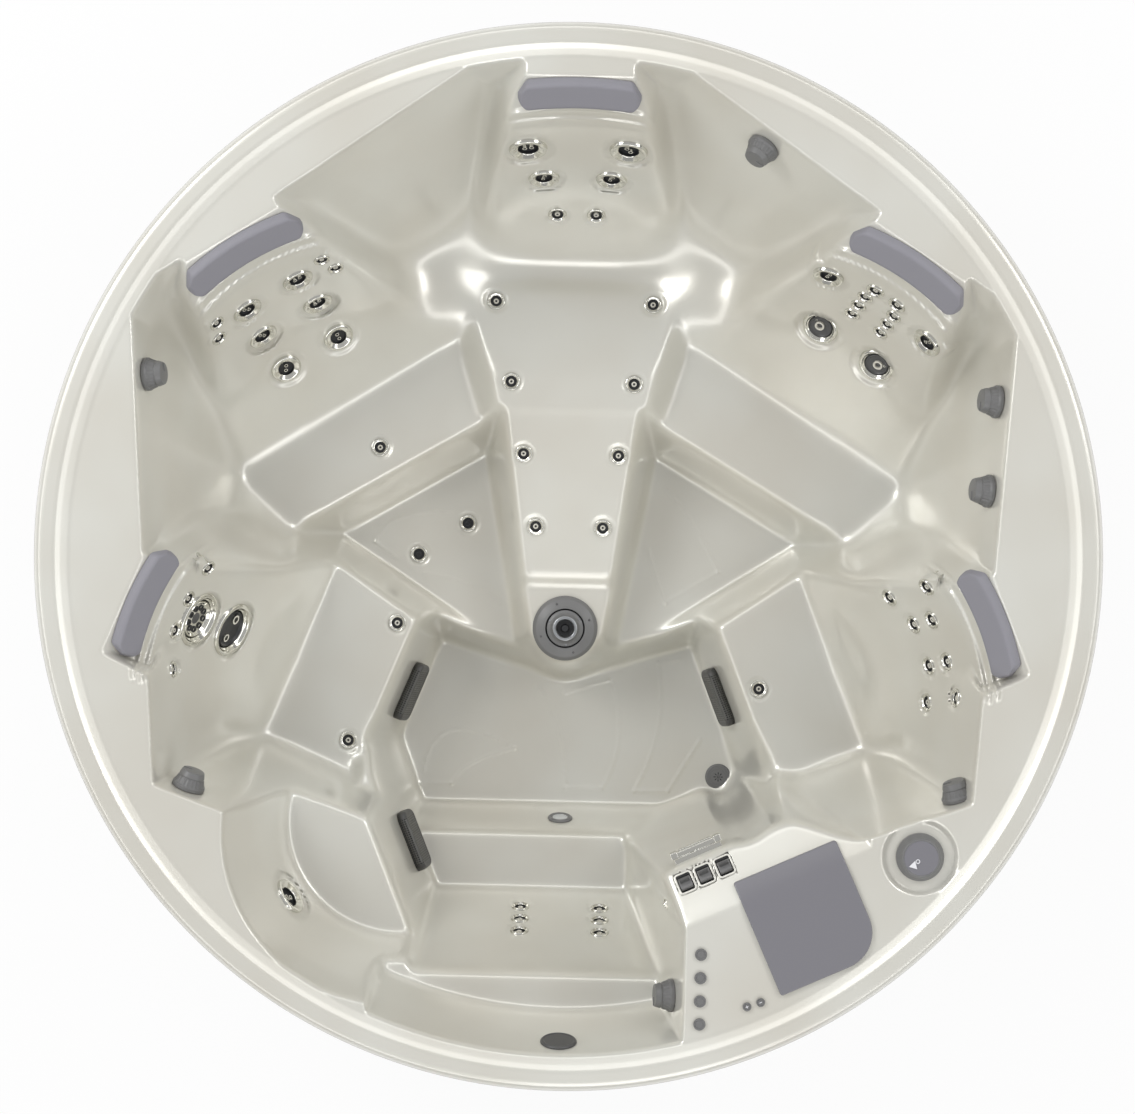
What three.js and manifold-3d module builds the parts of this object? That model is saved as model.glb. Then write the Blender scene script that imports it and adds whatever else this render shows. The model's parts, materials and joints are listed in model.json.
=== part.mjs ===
// Round acrylic hot tub with a lounge, four seats, a cool-down seat and an entry step.
// Millimetres, +Z up, origin at the centre of the underside. +Y is the lounge's head end.
import * as THREE from 'three';
import { mergeVertices } from 'three/addons/utils/BufferGeometryUtils.js';
import Module from 'manifold-3d';

const wasm = await Module();
wasm.setup();

// Driving dimensions
const rimDiameter = 2286;
const tubHeight = 915;
const sheet = 9;
const gap = 0.3;
const rimRadius = rimDiameter / 2;

// Levels above the floor, each a share of the tub's height
const atHeight = (share) => share * tubHeight;
const deckLevel = atHeight(0.98);
const neckLevel = atHeight(0.89);
const armLevel = atHeight(0.426);
const panLevel = atHeight(0.366);
const panRearLevel = atHeight(0.348);
const troughLevel = atHeight(0.363);
const kneeLevel = atHeight(0.437);
const calfEndLevel = atHeight(0.328);
const podLevel = atHeight(0.311);
const sideWellLevel = atHeight(0.197);
const wellLevel = atHeight(0.0874);
const treadLevel = atHeight(0.273);
const coolPanLevel = atHeight(0.612);
const ledgeLevel = atHeight(0.743);
const trayLevel = deckLevel - atHeight(0.013);

// Colours and finishes
const finish = (color, roughness, metalness = 0) =>
  new THREE.MeshStandardMaterial({ color, roughness, metalness });
const finishes = {
  acrylic: finish(0xdcdad0, 0.22),
  trim: finish(0x77777b, 0.42),
  pillow: finish(0x86868c, 0.75),
  darkTrim: finish(0x4c4c4e, 0.5),
  chrome: finish(0xc9c9c6, 0.12, 1),
  cabinet: finish(0x5a554f, 0.7),
  frame: finish(0xb9bbbd, 0.45, 1),
  plastic: finish(0x2f3032, 0.6),
  lens: finish(0xd8dcde, 0.2),
  paper: finish(0xe9e9e4, 0.9),
};

// Solids: joining and cutting
function solidOf(geometry) {
  const bare = geometry.index ? geometry.clone() : geometry;
  bare.deleteAttribute('normal');
  bare.deleteAttribute('uv');
  const merged = mergeVertices(bare, 1e-3);
  return new wasm.Manifold(new wasm.Mesh({
    numProp: 3,
    vertProperties: new Float32Array(merged.attributes.position.array),
    triVerts: new Uint32Array(merged.index.array),
  }));
}

function geometryOf(solid) {
  const mesh = solid.getMesh();
  const geometry = new THREE.BufferGeometry();
  geometry.setAttribute('position', new THREE.BufferAttribute(new Float32Array(mesh.vertProperties), 3));
  geometry.setIndex(new THREE.BufferAttribute(new Uint32Array(mesh.triVerts), 1));
  return geometry;
}

const joined = (solids) => solids.reduce((all, next) => all.add(next));
const cutBy = (solid, cutters) => cutters.reduce((rest, next) => rest.subtract(next), solid);

// The largest closed surface of a solid, without the slivers that its cuts leave
const sliver = gap / 100;
function mainBody(solid) {
  const bodies = solidOf(geometryOf(solid.simplify(sliver))).decompose();
  const largest = bodies.reduce((best, next) => (next.volume() > best.volume() ? next : best));
  return bodies.length > 1 ? mainBody(largest) : largest;
}

const upward = new THREE.Vector3(0, 0, 1);
const sideways = new THREE.Vector3(1, 0, 0);
const radians = THREE.MathUtils.degToRad;

// Turns a geometry whose axis is +Z along a direction and puts its origin at a point
function aimed(geometry, point, direction) {
  const turn = new THREE.Quaternion().setFromUnitVectors(upward, direction);
  return geometry.applyMatrix4(new THREE.Matrix4().compose(point, turn, new THREE.Vector3(1, 1, 1)));
}

// A turned solid from [radius, height] profile points that start and end on the axis
function turned(profile, segments) {
  const points = profile.map(([radius, height]) => new THREE.Vector2(radius, height));
  return new THREE.LatheGeometry(points, segments).rotateX(Math.PI / 2);
}

// A straight round rod between two points
function rod(from, to, radius, segments = 8) {
  const span = to.clone().sub(from);
  const profile = [[0, 0], [radius, 0], [radius, span.length()], [0, span.length()]];
  return solidOf(aimed(turned(profile, segments), from, span.normalize()));
}

function block(width, depth, height, x, y, z, turn = 0) {
  return solidOf(new THREE.BoxGeometry(width, depth, height).rotateZ(turn).translate(x, y, z));
}

// Surfaces of the moulded shell, as leaning planes.
// A wall faces a compass direction, stands at a reach along it at a level, and leans back
// from the vertical as it rises. A floor is a wall that leans all the way over.
const across = (direction) => {
  const angle = radians(direction);
  return [Math.cos(angle), Math.sin(angle)];
};

function wall(direction, reach, level, lean) {
  const [x, y] = across(direction);
  const slope = radians(lean);
  const normal = new THREE.Vector3(x * Math.cos(slope), y * Math.cos(slope), -Math.sin(slope));
  return { normal, offset: normal.dot(new THREE.Vector3(x * reach, y * reach, level)) };
}

const floor = (level) => wall(0, 0, level, 90);
const levelOn = ({ normal, offset }, x, y) => (offset - normal.x * x - normal.y * y) / normal.z;

// A conical wall round a centre
const cone = (x, y, radius, level, lean) => ({ x, y, radius, level, lean });
const coneLevel = (c, x, y) =>
  c.level + (Math.hypot(x - c.x, y - c.y) - c.radius) / Math.tan(radians(c.lean));

const beyond = rimDiameter * 2;
const wideRadius = rimRadius / 2;
const rimSegments = 54;
function halfSpace({ normal, offset }, grow) {
  const box = new THREE.BoxGeometry(beyond, beyond, beyond).translate(beyond / 2, 0, 0);
  const turn = new THREE.Quaternion().setFromUnitVectors(sideways, normal);
  const at = normal.clone().multiplyScalar(offset + grow);
  return solidOf(box.applyMatrix4(new THREE.Matrix4().compose(at, turn, new THREE.Vector3(1, 1, 1))));
}

function coneSolid(c, grow) {
  const spread = Math.tan(radians(c.lean));
  const radiusAt = (level) => c.radius + grow / Math.cos(radians(c.lean)) + (level - c.level) * spread;
  const reachUp = (c.radius * 0.5) / Math.abs(spread);
  const low = spread > 0 ? Math.max(-tubHeight, c.level - reachUp) : -tubHeight;
  const top = spread > 0 ? tubHeight * 1.2 : Math.min(tubHeight * 1.2, c.level + reachUp);
  const profile = [[0, low], [radiusAt(low), low], [radiusAt(top), top], [0, top]];
  return solidOf(turned(profile, c.radius > wideRadius ? rimSegments : 24).translate(c.x, c.y, 0));
}

// A convex body bounded by leaning planes and cones
function bounded(body, grow = 0) {
  const room = block(rimDiameter, rimDiameter, tubHeight * 1.1, 0, 0, tubHeight * 0.55);
  const cut = cutBy(room, body.walls.map((plane) => halfSpace(plane, grow)));
  return (body.cones ?? []).reduce((rest, c) => rest.intersect(coneSolid(c, grow)), cut);
}

const mirrorPlane = ({ normal, offset }) =>
  ({ normal: new THREE.Vector3(-normal.x, normal.y, normal.z), offset });
const mirrored = (body) => ({
  walls: body.walls.map(mirrorPlane),
  cones: (body.cones ?? []).map((c) => ({ ...c, x: -c.x })),
});
const bothSides = (body) => [body, mirrored(body)];

// Reaches and widths, as shares of the rim's radius
const reachOf = (share) => share * rimRadius;
const rimInner = reachOf(0.9326);
const rimCone = cone(0, 0, rimInner, deckLevel, 15);

// The basin: six walls that meet the decks in straight edges, and a low arm level round the seats
const basinSides = [
  wall(125, reachOf(0.867), deckLevel, 22),
  wall(184, reachOf(0.7953), deckLevel, 13),
  wall(250.5, reachOf(0.6754), deckLevel, 10.8),
].flatMap((side) => [side, mirrorPlane(side)]);
const inBasin = (walls) => ({ walls: [...walls, ...basinSides] });
const basin = inBasin([floor(armLevel)]);

// Seats: where each backrest faces, its centre line and the curve of its neck
const seat = (facing, offsetShare, neckShare, arcShare, upper, lowerShare, lowerLevel, lower, side) => ({
  facing,
  offset: reachOf(offsetShare),
  neck: reachOf(neckShare),
  arc: reachOf(arcShare),
  upper,
  lowerReach: reachOf(lowerShare),
  lowerLevel,
  lower,
  side,
});
const mirroredSeat = (s) => ({ ...s, facing: 180 - s.facing, offset: -s.offset });
const loungeSeat = seat(90, 0, 0.8311, 0.7, 21, 0.6868, atHeight(0.492), 40, 9);
const leftSeat = seat(122.5, 0.2292, 0.7717, 0.455, 21, 0.615, atHeight(0.492), 45, 14);
const leftCorner = seat(157.5, 0.4024, 0.6588, 0.455, 25, 0.49, atHeight(0.437), 42, 8);
const rightSeat = mirroredSeat(leftSeat);
const rightCorner = mirroredSeat(leftCorner);
const seats = [loungeSeat, leftSeat, rightSeat, leftCorner, rightCorner];

const neckHalf = reachOf(0.1452);
const headHalf = reachOf(0.1024);
const headFlare = 31;
const pillowLean = 45;
const pillowSet = reachOf(0.07);
const bedRoom = reachOf(0.012);
const fanSteps = [-1.5, -0.5, 0.5, 1.5];
const fanStep = 10;

// The hollow front of a backrest, as planes that touch the arc of its neck
function backFan(s) {
  return fanSteps.map((step) => {
    const swing = radians(step * fanStep);
    const along = s.offset + s.arc * Math.sin(swing);
    const out = s.neck - s.arc * (1 - Math.cos(swing));
    const reach = out * Math.cos(swing) + along * Math.sin(swing);
    return wall(s.facing + step * fanStep + 180, -reach, neckLevel, -s.upper);
  });
}

// The backrest stands proud of the basin's wall, up to the deck behind its pillow.
// Its front is hollow, so it is one solid behind each plane of the fan.
function backrest(s) {
  const sides = [90, -90].flatMap((turn) => {
    const middle = s.offset * Math.sign(turn);
    return [
      wall(s.facing + turn, middle + neckHalf, neckLevel, -s.side),
      wall(s.facing + turn, middle + headHalf, deckLevel, -headFlare),
    ];
  });
  const head = wall(s.facing + 180, -(s.neck + pillowSet), deckLevel, -pillowLean);
  const upper = backFan(s).map((front) => ({ walls: [...sides, front, head] }));
  const lower = { walls: [...sides, wall(s.facing + 180, -s.lowerReach, s.lowerLevel, -s.lower)] };
  return [...upper, lower];
}
const backrests = seats.flatMap(backrest);

// Seat pans, which reach just behind the lower backs and stop short of the curved upper ones
const lap = gap * 2;
const panBack = (s) => wall(s.facing, s.lowerReach + lap, s.lowerLevel, s.lower);
const backLimit = (s) => wall(s.facing, s.neck - reachOf(0.027), neckLevel, s.upper);
const loungeSide = wall(12.7, reachOf(-0.0822), atHeight(0.421), 40);
const leftPan = inBasin([
  wall(302, reachOf(-0.49), panRearLevel, 84.6),
  panBack(leftSeat),
  backLimit(leftSeat),
  loungeSide,
  wall(12.7, reachOf(-0.078), atHeight(0.421), 2),
  wall(233, reachOf(0.2975), atHeight(0.355), 45),
  wall(233, reachOf(0.36), armLevel, 2),
  wall(302.5, reachOf(-0.3), panLevel, 2),
]);
const cornerPan = inBasin([
  wall(337.5, reachOf(-0.437), atHeight(0.352), 87),
  panBack(leftCorner),
  backLimit(leftCorner),
  wall(67.5, reachOf(-0.184), panLevel, 45),
  wall(67.5, reachOf(-0.13), armLevel, 2),
  wall(338, reachOf(-0.22), panLevel, 2),
  wall(57, reachOf(-0.267), panLevel, 2),
]);

// The lounge: a hip trough, thighs rising to the knees, and calves falling to the pod
const loungeFlank = wall(192.7, reachOf(0.0822), atHeight(0.421), 8);
const loungeFlanks = [loungeFlank, mirrorPlane(loungeFlank)];
const loungeBack = panBack(loungeSeat);
const kneeReach = reachOf(0.3193);
const hipTrough = inBasin([
  floor(troughLevel),
  loungeBack,
  backLimit(loungeSeat),
  ...loungeFlanks,
  wall(270, reachOf(-0.547), atHeight(0.3825), 45),
]);
const thighs = inBasin([
  wall(270, reachOf(-0.5486), atHeight(0.3825), 79.2),
  loungeBack,
  backLimit(loungeSeat),
  ...loungeFlanks,
  wall(270, -kneeReach, kneeLevel, 45),
]);
const legFlanks = [wall(180, reachOf(0.175), kneeLevel, 2), wall(0, reachOf(0.175), kneeLevel, 2)];
const calves = inBasin([
  wall(90, reachOf(0.2957), atHeight(0.4208), 78),
  wall(90, reachOf(0.2957), atHeight(0.4208), 40),
  ...legFlanks,
  wall(270, reachOf(0.0542), calfEndLevel, 45),
]);
const podX = reachOf(-0.0035);
const podY = reachOf(-0.1479);
const podRadius = reachOf(0.0735);
const pod = { walls: [wall(0, 0, podLevel, -90)], cones: [cone(podX, podY, podRadius, podLevel, -9)] };
const podFlat = inBasin([
  floor(podLevel),
  wall(90, reachOf(-0.0595), podLevel, 45),
  wall(270, reachOf(0.28), podLevel, 2),
  ...legFlanks,
]);

// Footwells: one each side of the lounge's legs, and the deep one in the middle
const sideWell = inBasin([
  floor(sideWellLevel),
  wall(120.5, reachOf(0.3219), panLevel, 18),
  wall(237, reachOf(0.2791), panLevel, 18.8),
  wall(10.2, reachOf(-0.0945), atHeight(0.377), 13.5),
  wall(253, reachOf(0.28), sideWellLevel, 20),
]);
const coolInner = wall(202.3, reachOf(0.5503), coolPanLevel, 9.5);
const deepWells = [73, 107].map((north) => ({
  walls: [
    floor(wellLevel),
    wall(north, reachOf(-0.2152), sideWellLevel, 19),
    wall(158.2, reachOf(0.2292), panLevel, 11),
    wall(21.8, reachOf(0.2292), panLevel, 11),
    wall(270, reachOf(0.5713), treadLevel, 16),
    wall(211.8, reachOf(0.5477), wellLevel, 12),
    coolInner,
  ],
}));

// The entry: a tread, a reclined wall with jets, a curved ledge, and the island's west side
const entryEnd = wall(0, reachOf(0.27), deckLevel, 2);
const jetWall = wall(270, reachOf(0.8101), ledgeLevel, 17.5);
const tread = { walls: [floor(treadLevel), coolInner, jetWall, entryEnd, wall(90, reachOf(-0.46), treadLevel, 2)] };
const ledge = {
  walls: [
    floor(ledgeLevel),
    entryEnd,
    wall(90, reachOf(-0.79), ledgeLevel, 2),
    wall(180, reachOf(0.35), ledgeLevel, 2),
  ],
};
const coolX = reachOf(-0.3193);
const coolY = reachOf(-0.5293);
const coolSeat = {
  walls: [floor(coolPanLevel)],
  cones: [cone(coolX, coolY, reachOf(0.2275), coolPanLevel, 16.8)],
};

// The control island slopes down to the pool in front of its bend, and holds a sunken tray
const islandFacing = 294.4;
const island = {
  walls: [
    wall(islandFacing - 180, reachOf(-0.727), deckLevel, -63),
    wall(islandFacing - 180, reachOf(-0.6115), atHeight(0.907), -3),
    wall(180, reachOf(-0.2336), deckLevel, -9),
    wall(73.5, reachOf(-0.3307), atHeight(0.874), -3),
  ],
};
const islandSlopeCut = {
  walls: [
    wall(islandFacing, reachOf(0.727) + lap, deckLevel, 63),
    wall(islandFacing - 180, reachOf(-0.55), deckLevel, 2),
    wall(islandFacing + 90, reachOf(0.3115), deckLevel, 2),
    wall(islandFacing - 90, reachOf(0.09), deckLevel, 2),
  ],
};
const leverShelf = {
  walls: [
    ...island.walls.slice(0, 2),
    wall(islandFacing - 90, reachOf(0.077), atHeight(0.94), -4),
    wall(islandFacing, reachOf(0.727), deckLevel, -2),
    wall(islandFacing + 90, reachOf(0.1), deckLevel, -2),
  ],
};
const trayX = reachOf(0.672);
const trayY = reachOf(-0.5468);
const trayRadius = reachOf(0.071);
const tray = { walls: [floor(trayLevel)], cones: [cone(trayX, trayY, trayRadius, deckLevel, 30)] };

// A bed for each pillow where its slope runs on into the deck
const pillowBed = (s) => ({
  walls: [
    wall(s.facing, s.neck + pillowSet + lap, deckLevel, pillowLean),
    wall(s.facing + 180, -s.neck + bedRoom * 2, deckLevel, 2),
    ...[90, -90].map((turn) => wall(s.facing + turn, s.offset * Math.sign(turn) + headHalf + bedRoom, deckLevel, 2)),
  ],
});

const laterVoids = [
  ...seats.map(pillowBed),
  ...bothSides(leftPan),
  ...bothSides(cornerPan),
  hipTrough,
  thighs,
  calves,
  podFlat,
  ...bothSides(sideWell),
  ...deepWells,
  tread,
  ledge,
  coolSeat,
  islandSlopeCut,
];
const lastSolids = [pod, island, leverShelf];

const highest = (body, x, y) => Math.max(
  ...body.walls.map((plane) => levelOn(plane, x, y)),
  ...(body.cones ?? []).map((c) => coneLevel(c, x, y)),
);
const lowest = (body, x, y) => Math.min(
  ...body.walls.map((plane) => levelOn(plane, x, y)),
  ...(body.cones ?? []).map((c) => coneLevel(c, x, y)),
);

// The shell's upper surface at a place in plan
function surface(x, y) {
  const carved = Math.min(deckLevel, highest(basin, x, y));
  const raised = Math.max(carved, ...backrests.map((body) => Math.min(deckLevel, lowest(body, x, y))));
  const sunk = Math.min(raised, ...laterVoids.map((body) => highest(body, x, y)));
  const seated = Math.max(sunk, coneLevel(rimCone, x, y));
  const stood = Math.max(seated, ...lastSolids.map((body) => lowest(body, x, y)));
  return Math.min(stood, deckLevel, highest(tray, x, y));
}

const stepAside = 0.5;
function facingOut(x, y) {
  const slopeX = surface(x + stepAside, y) - surface(x - stepAside, y);
  const slopeY = surface(x, y + stepAside) - surface(x, y - stepAside);
  return new THREE.Vector3(-slopeX, -slopeY, 2 * stepAside).normalize();
}

// A place on the shell: its point and the direction that the shell faces there
const placeAt = (x, y) => ({ point: new THREE.Vector3(x, y, surface(x, y)), out: facingOut(x, y) });

// A place on a wall, found by going out along a direction until the surface reaches a level
function placeOnWall(direction, along, level, near, far) {
  const [x, y] = across(direction);
  const spot = (reach) => [x * reach - y * along, y * reach + x * along];
  let low = near;
  let high = far;
  for (let round = 0; round < 40; round += 1) {
    const middle = (low + high) / 2;
    if (surface(...spot(middle)) < level) low = middle;
    else high = middle;
  }
  return placeAt(...spot((low + high) / 2));
}

const seatPlace = (s, aside, level) =>
  placeOnWall(s.facing, s.offset + aside, level, s.neck - reachOf(0.3), s.neck + reachOf(0.01));

// The shell
function shellVoid(grow) {
  const risen = cutBy(bounded(basin, grow), backrests.map((body) => bounded(body, -grow)));
  const rim = bounded({ walls: [], cones: [rimCone] }, grow);
  const seated = joined([risen, ...laterVoids.map((body) => bounded(body, grow))]).intersect(rim);
  return cutBy(seated, lastSolids.map((body) => bounded(body, -grow))).add(bounded(tray, grow));
}

const lipDrop = atHeight(0.07);
const crownShares = [[0.935, 0.98], [0.952, 0.991], [0.962, 1], [0.987, 0.999], [1, 0.98]];
const underCrownShares = [[1, 0.98], [0.987, 0.996], [0.9326, 0.98]];
function rimSolid() {
  const crown = crownShares.map(([out, up]) => [reachOf(out), atHeight(up)]);
  const inner = underCrownShares.map(([out, up]) => [reachOf(out) - sheet, atHeight(up) - sheet]);
  const profile = [
    [0, deckLevel],
    ...crown,
    [rimRadius, tubHeight - lipDrop],
    [rimRadius - sheet, tubHeight - lipDrop],
    ...inner,
    [0, deckLevel - sheet],
  ];
  return solidOf(turned(profile.reverse(), rimSegments));
}

// Openings in the shell for the fittings
const holes = [];
const reachThrough = sheet * 6;
const clearance = gap / 2;

function pierce(place, radius, sides) {
  const back = place.point.clone().addScaledVector(place.out, -reachThrough);
  const front = place.point.clone().addScaledVector(place.out, reachThrough);
  holes.push(rod(back, front, radius, sides));
}

// The radius of a many-sided hole that a many-sided piece can turn in
const turningRoom = (radius, sides) => radius / Math.cos(Math.PI / sides) + gap;

// Room for a fitting's face where the shell curves up beside it
function clearFace(place, radius, sides) {
  const low = place.point.clone().addScaledVector(place.out, clearance);
  holes.push(rod(low, place.point.clone().addScaledVector(place.out, reachThrough), radius, sides));
}

const meshes = [];
function keep(name, solid, material) {
  const mesh = new THREE.Mesh(geometryOf(solid.simplify(sliver)), finishes[material]);
  mesh.name = name;
  meshes.push(mesh);
}

const turnedAt = (place, profile, sides) => solidOf(aimed(turned(profile, sides), place.point, place.out));

// A round fitting: a shank through the shell and a face that rests on it
function fitting(place, profile, sides, shank, face) {
  pierce(place, shank + gap, sides);
  clearFace(place, face + gap, sides);
  return turnedAt(place, profile, sides);
}

// A round fitting that turns
function turningFitting(place, profile, sides, shank, face) {
  pierce(place, turningRoom(shank, sides), sides);
  clearFace(place, turningRoom(face, sides), sides);
  return turnedAt(place, profile, sides);
}

// Jets: face radius, throat, how far the body reaches behind the shell, and number of sides
const jetSize = (faceShare, depthShare, sides, throatShare = 0.62) => ({
  sides,
  turning: throatShare > 0.62,
  cup: reachOf(depthShare * 0.4),
  face: reachOf(faceShare),
  body: reachOf(faceShare * 0.72),
  depth: reachOf(depthShare),
  proud: reachOf(0.0028),
  throat: reachOf(faceShare * throatShare),
});
const jetSizes = {
  tiny: jetSize(0.0165, 0.04, 6),
  small: jetSize(0.019, 0.042, 6),
  medium: jetSize(0.0315, 0.048, 8),
  large: jetSize(0.038, 0.052, 9),
  whirl: jetSize(0.038, 0.052, 10, 0.66),
  grand: jetSize(0.0585, 0.06, 12, 0.68),
};

function jetSolid(place, size) {
  const cup = [[size.throat, -size.cup], [0, -size.cup]];
  const profile = [
    [0, -size.depth],
    [size.body, -size.depth],
    [size.body, gap],
    [size.face, gap],
    [size.throat, size.proud],
    ...(size.turning ? cup : cup.slice(1)),
  ];
  return fitting(place, profile, size.sides, size.body, size.face);
}

// A turning jet face sits in its jet's cup
function jetFace(name, { place, size }) {
  const cup = size.cup - gap;
  const radius = size.throat * Math.cos(Math.PI / size.sides) - gap;
  const profile = [
    [0, -cup],
    [radius, -cup],
    [radius, size.proud],
    [radius * 0.5, size.proud * 2],
    [radius * 0.3, 0],
    [0, 0],
  ];
  const turnedFace = turnedAt(place, profile, size.sides);
  const port = aimed(
    turned([[0, 0], [radius * 0.18, 0], [radius * 0.18, cup * 2], [0, cup * 2]], 6).translate(radius * 0.7, 0, -cup * 0.4),
    place.point,
    place.out,
  );
  keep(name, turnedFace.subtract(solidOf(port)), 'chrome');
}

const behind = ({ bend, place, size }) =>
  bend ?? place.point.clone().addScaledVector(place.out, -size.depth * 0.86);

// A bank of jets joined by the hoses that feed them behind the shell
const hoseRadius = reachOf(0.0105);
const hoseSides = 3;
function jetBank(name, run) {
  const parts = run.flatMap((stop, index) => {
    const jet = stop.bend ? [] : [jetSolid(stop.place, stop.size)];
    return index ? [...jet, rod(behind(run[index - 1]), behind(stop), hoseRadius, hoseSides)] : jet;
  });
  keep(name, joined(parts), 'chrome');
}

const onSeat = (s) => (asideShare, levelShare, sizeName) =>
  ({ place: seatPlace(s, reachOf(asideShare), atHeight(levelShare)), size: jetSizes[sizeName] });
const onPan = (xShare, yShare, sizeName) =>
  ({ place: placeAt(reachOf(xShare), reachOf(yShare)), size: jetSizes[sizeName] });
const onWall = (direction, alongShare, levelShare, nearShare, farShare) =>
  placeOnWall(direction, reachOf(alongShare), atHeight(levelShare), reachOf(nearShare), reachOf(farShare));

const onLounge = onSeat(loungeSeat);
jetBank('lounge_back_jets', [
  onLounge(-0.039, 0.49, 'small'),
  onLounge(-0.0665, 0.615, 'medium'),
  onLounge(-0.097, 0.755, 'large'),
  onLounge(0.097, 0.755, 'large'),
  onLounge(0.0665, 0.615, 'medium'),
  onLounge(0.039, 0.49, 'small'),
]);

const legShares = [[0.1601, 0.5179], [0.1247, 0.3526], [0.0967, 0.2069], [0.0687, 0.0595]];
jetBank('lounge_leg_jets', [
  ...legShares.map(([x, y]) => onPan(-x, y, 'small')),
  ...[...legShares].reverse().map(([x, y]) => onPan(x, y, 'small')),
]);

const onLeft = onSeat(leftSeat);
jetBank('left_seat_jets', [
  onPan(-0.3911, 0.2143, 'small'),
  { bend: new THREE.Vector3(reachOf(-0.4943), reachOf(0.3491), atHeight(0.31)) },
  onLeft(0.0612, 0.492, 'medium'),
  onLeft(0.063, 0.612, 'medium'),
  onLeft(0.1312, 0.754, 'tiny'),
  onLeft(0.1172, 0.8087, 'tiny'),
  onLeft(0.0569, 0.754, 'medium'),
  onLeft(-0.0569, 0.754, 'medium'),
  onLeft(-0.1172, 0.8087, 'tiny'),
  onLeft(-0.1312, 0.754, 'tiny'),
  onLeft(-0.063, 0.612, 'medium'),
  onLeft(-0.0612, 0.492, 'medium'),
]);

const onRight = onSeat(rightSeat);
const whirls = [onRight(-0.0674, 0.5464, 'whirl'), onRight(0.0674, 0.5464, 'whirl')];
const columnShares = [0.6721, 0.7213, 0.7705];
jetBank('right_seat_jets', [
  whirls[0],
  ...columnShares.map((level) => onRight(-0.0332, level, 'tiny')),
  onRight(-0.1137, 0.7869, 'medium'),
  onRight(-0.0245, 0.818, 'tiny'),
  onRight(0.0245, 0.818, 'tiny'),
  onRight(0.1137, 0.7869, 'medium'),
  ...[...columnShares].reverse().map((level) => onRight(0.0332, level, 'tiny')),
  whirls[1],
]);
whirls.forEach((jet, index) => jetFace(`right_seat_jet_face_${index + 1}`, jet));

const onLeftCorner = onSeat(leftCorner);
const grandJets = [onLeftCorner(0, 0.7432, 'grand'), onLeftCorner(0, 0.5956, 'grand')];
jetBank('left_corner_jets', [
  onLeftCorner(-0.1015, 0.8197, 'tiny'),
  onLeftCorner(-0.0332, 0.8197, 'tiny'),
  onLeftCorner(0.0332, 0.8197, 'tiny'),
  onLeftCorner(0.1015, 0.8197, 'tiny'),
  ...grandJets,
  { bend: new THREE.Vector3(reachOf(-0.6063), reachOf(-0.1843), atHeight(0.3)) },
  onPan(-0.4418, -0.3867, 'small'),
]);
grandJets.forEach((jet, index) => jetFace(`left_corner_jet_face_${index + 1}`, jet));

const onRightCorner = onSeat(rightCorner);
jetBank('right_corner_jets', [
  onRightCorner(0.0997, 0.6546, 'small'),
  onRightCorner(0.035, 0.6842, 'small'),
  onRightCorner(0.035, 0.7617, 'small'),
  onRightCorner(0.0997, 0.812, 'small'),
  { bend: new THREE.Vector3(reachOf(0.8042), reachOf(-0.1124), atHeight(0.79)) },
  onRightCorner(-0.1181, 0.812, 'small'),
  onRightCorner(-0.0507, 0.7617, 'small'),
  onRightCorner(-0.0507, 0.6842, 'small'),
  onRightCorner(-0.1181, 0.6546, 'small'),
]);

const stepShares = [0.3716, 0.4404, 0.5093];
const onStep = (alongShare) => (levelShare) =>
  ({ place: onWall(270, alongShare, levelShare, 0.6, 0.95), size: jetSizes.small });
jetBank('entry_jets', [
  ...stepShares.map(onStep(0.0805)),
  ...[...stepShares].reverse().map(onStep(-0.0805)),
  { bend: new THREE.Vector3(reachOf(-0.49), reachOf(-0.7612), atHeight(0.5683)) },
  onPan(-0.5249, -0.6737, 'large'),
]);
jetBank('foot_jets', [onPan(-0.2117, 0.0647, 'small'), onPan(-0.3132, -0.0026, 'small')]);

// Air control knobs: a tapered grip on a skirt, with a shank through the wall
const knob = {
  skirt: reachOf(0.0315),
  top: reachOf(0.021),
  lip: reachOf(0.007),
  height: reachOf(0.035),
  shank: reachOf(0.0105),
  depth: reachOf(0.035),
  ridge: reachOf(0.004),
  sides: 10,
};
function knobAt(name, place) {
  const profile = [
    [0, -knob.depth],
    [knob.shank, -knob.depth],
    [knob.shank, gap],
    [knob.skirt, gap],
    [knob.skirt, knob.lip],
    [knob.top, knob.height],
    [0, knob.height],
  ];
  const ridge = new THREE.BoxGeometry(knob.top, knob.ridge, knob.ridge).translate(knob.top / 2, 0, knob.height);
  const grip = turningFitting(place, profile, knob.sides, knob.shank, knob.skirt);
  keep(name, grip.add(solidOf(aimed(ridge, place.point, place.out))), 'trim');
}
const knobShares = [
  ['knob_lounge', 55, 0.1619, 0.907, 0.6, 0.93],
  ['knob_right_1', -4, 0.3675, 0.907, 0.6, 0.93],
  ['knob_right_2', -4, 0.1977, 0.907, 0.6, 0.93],
  ['knob_right_corner', 289.5, 0.5591, 0.907, 0.5, 0.93],
  ['knob_left_corner', 250.5, -0.5171, 0.907, 0.5, 0.93],
  ['knob_left', 184, -0.3806, 0.907, 0.6, 0.93],
  ['knob_entry', 0, -0.8311, 0.858, 0.1, 0.35],
];
knobShares.forEach(([name, ...where]) => knobAt(name, onWall(...where)));

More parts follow.
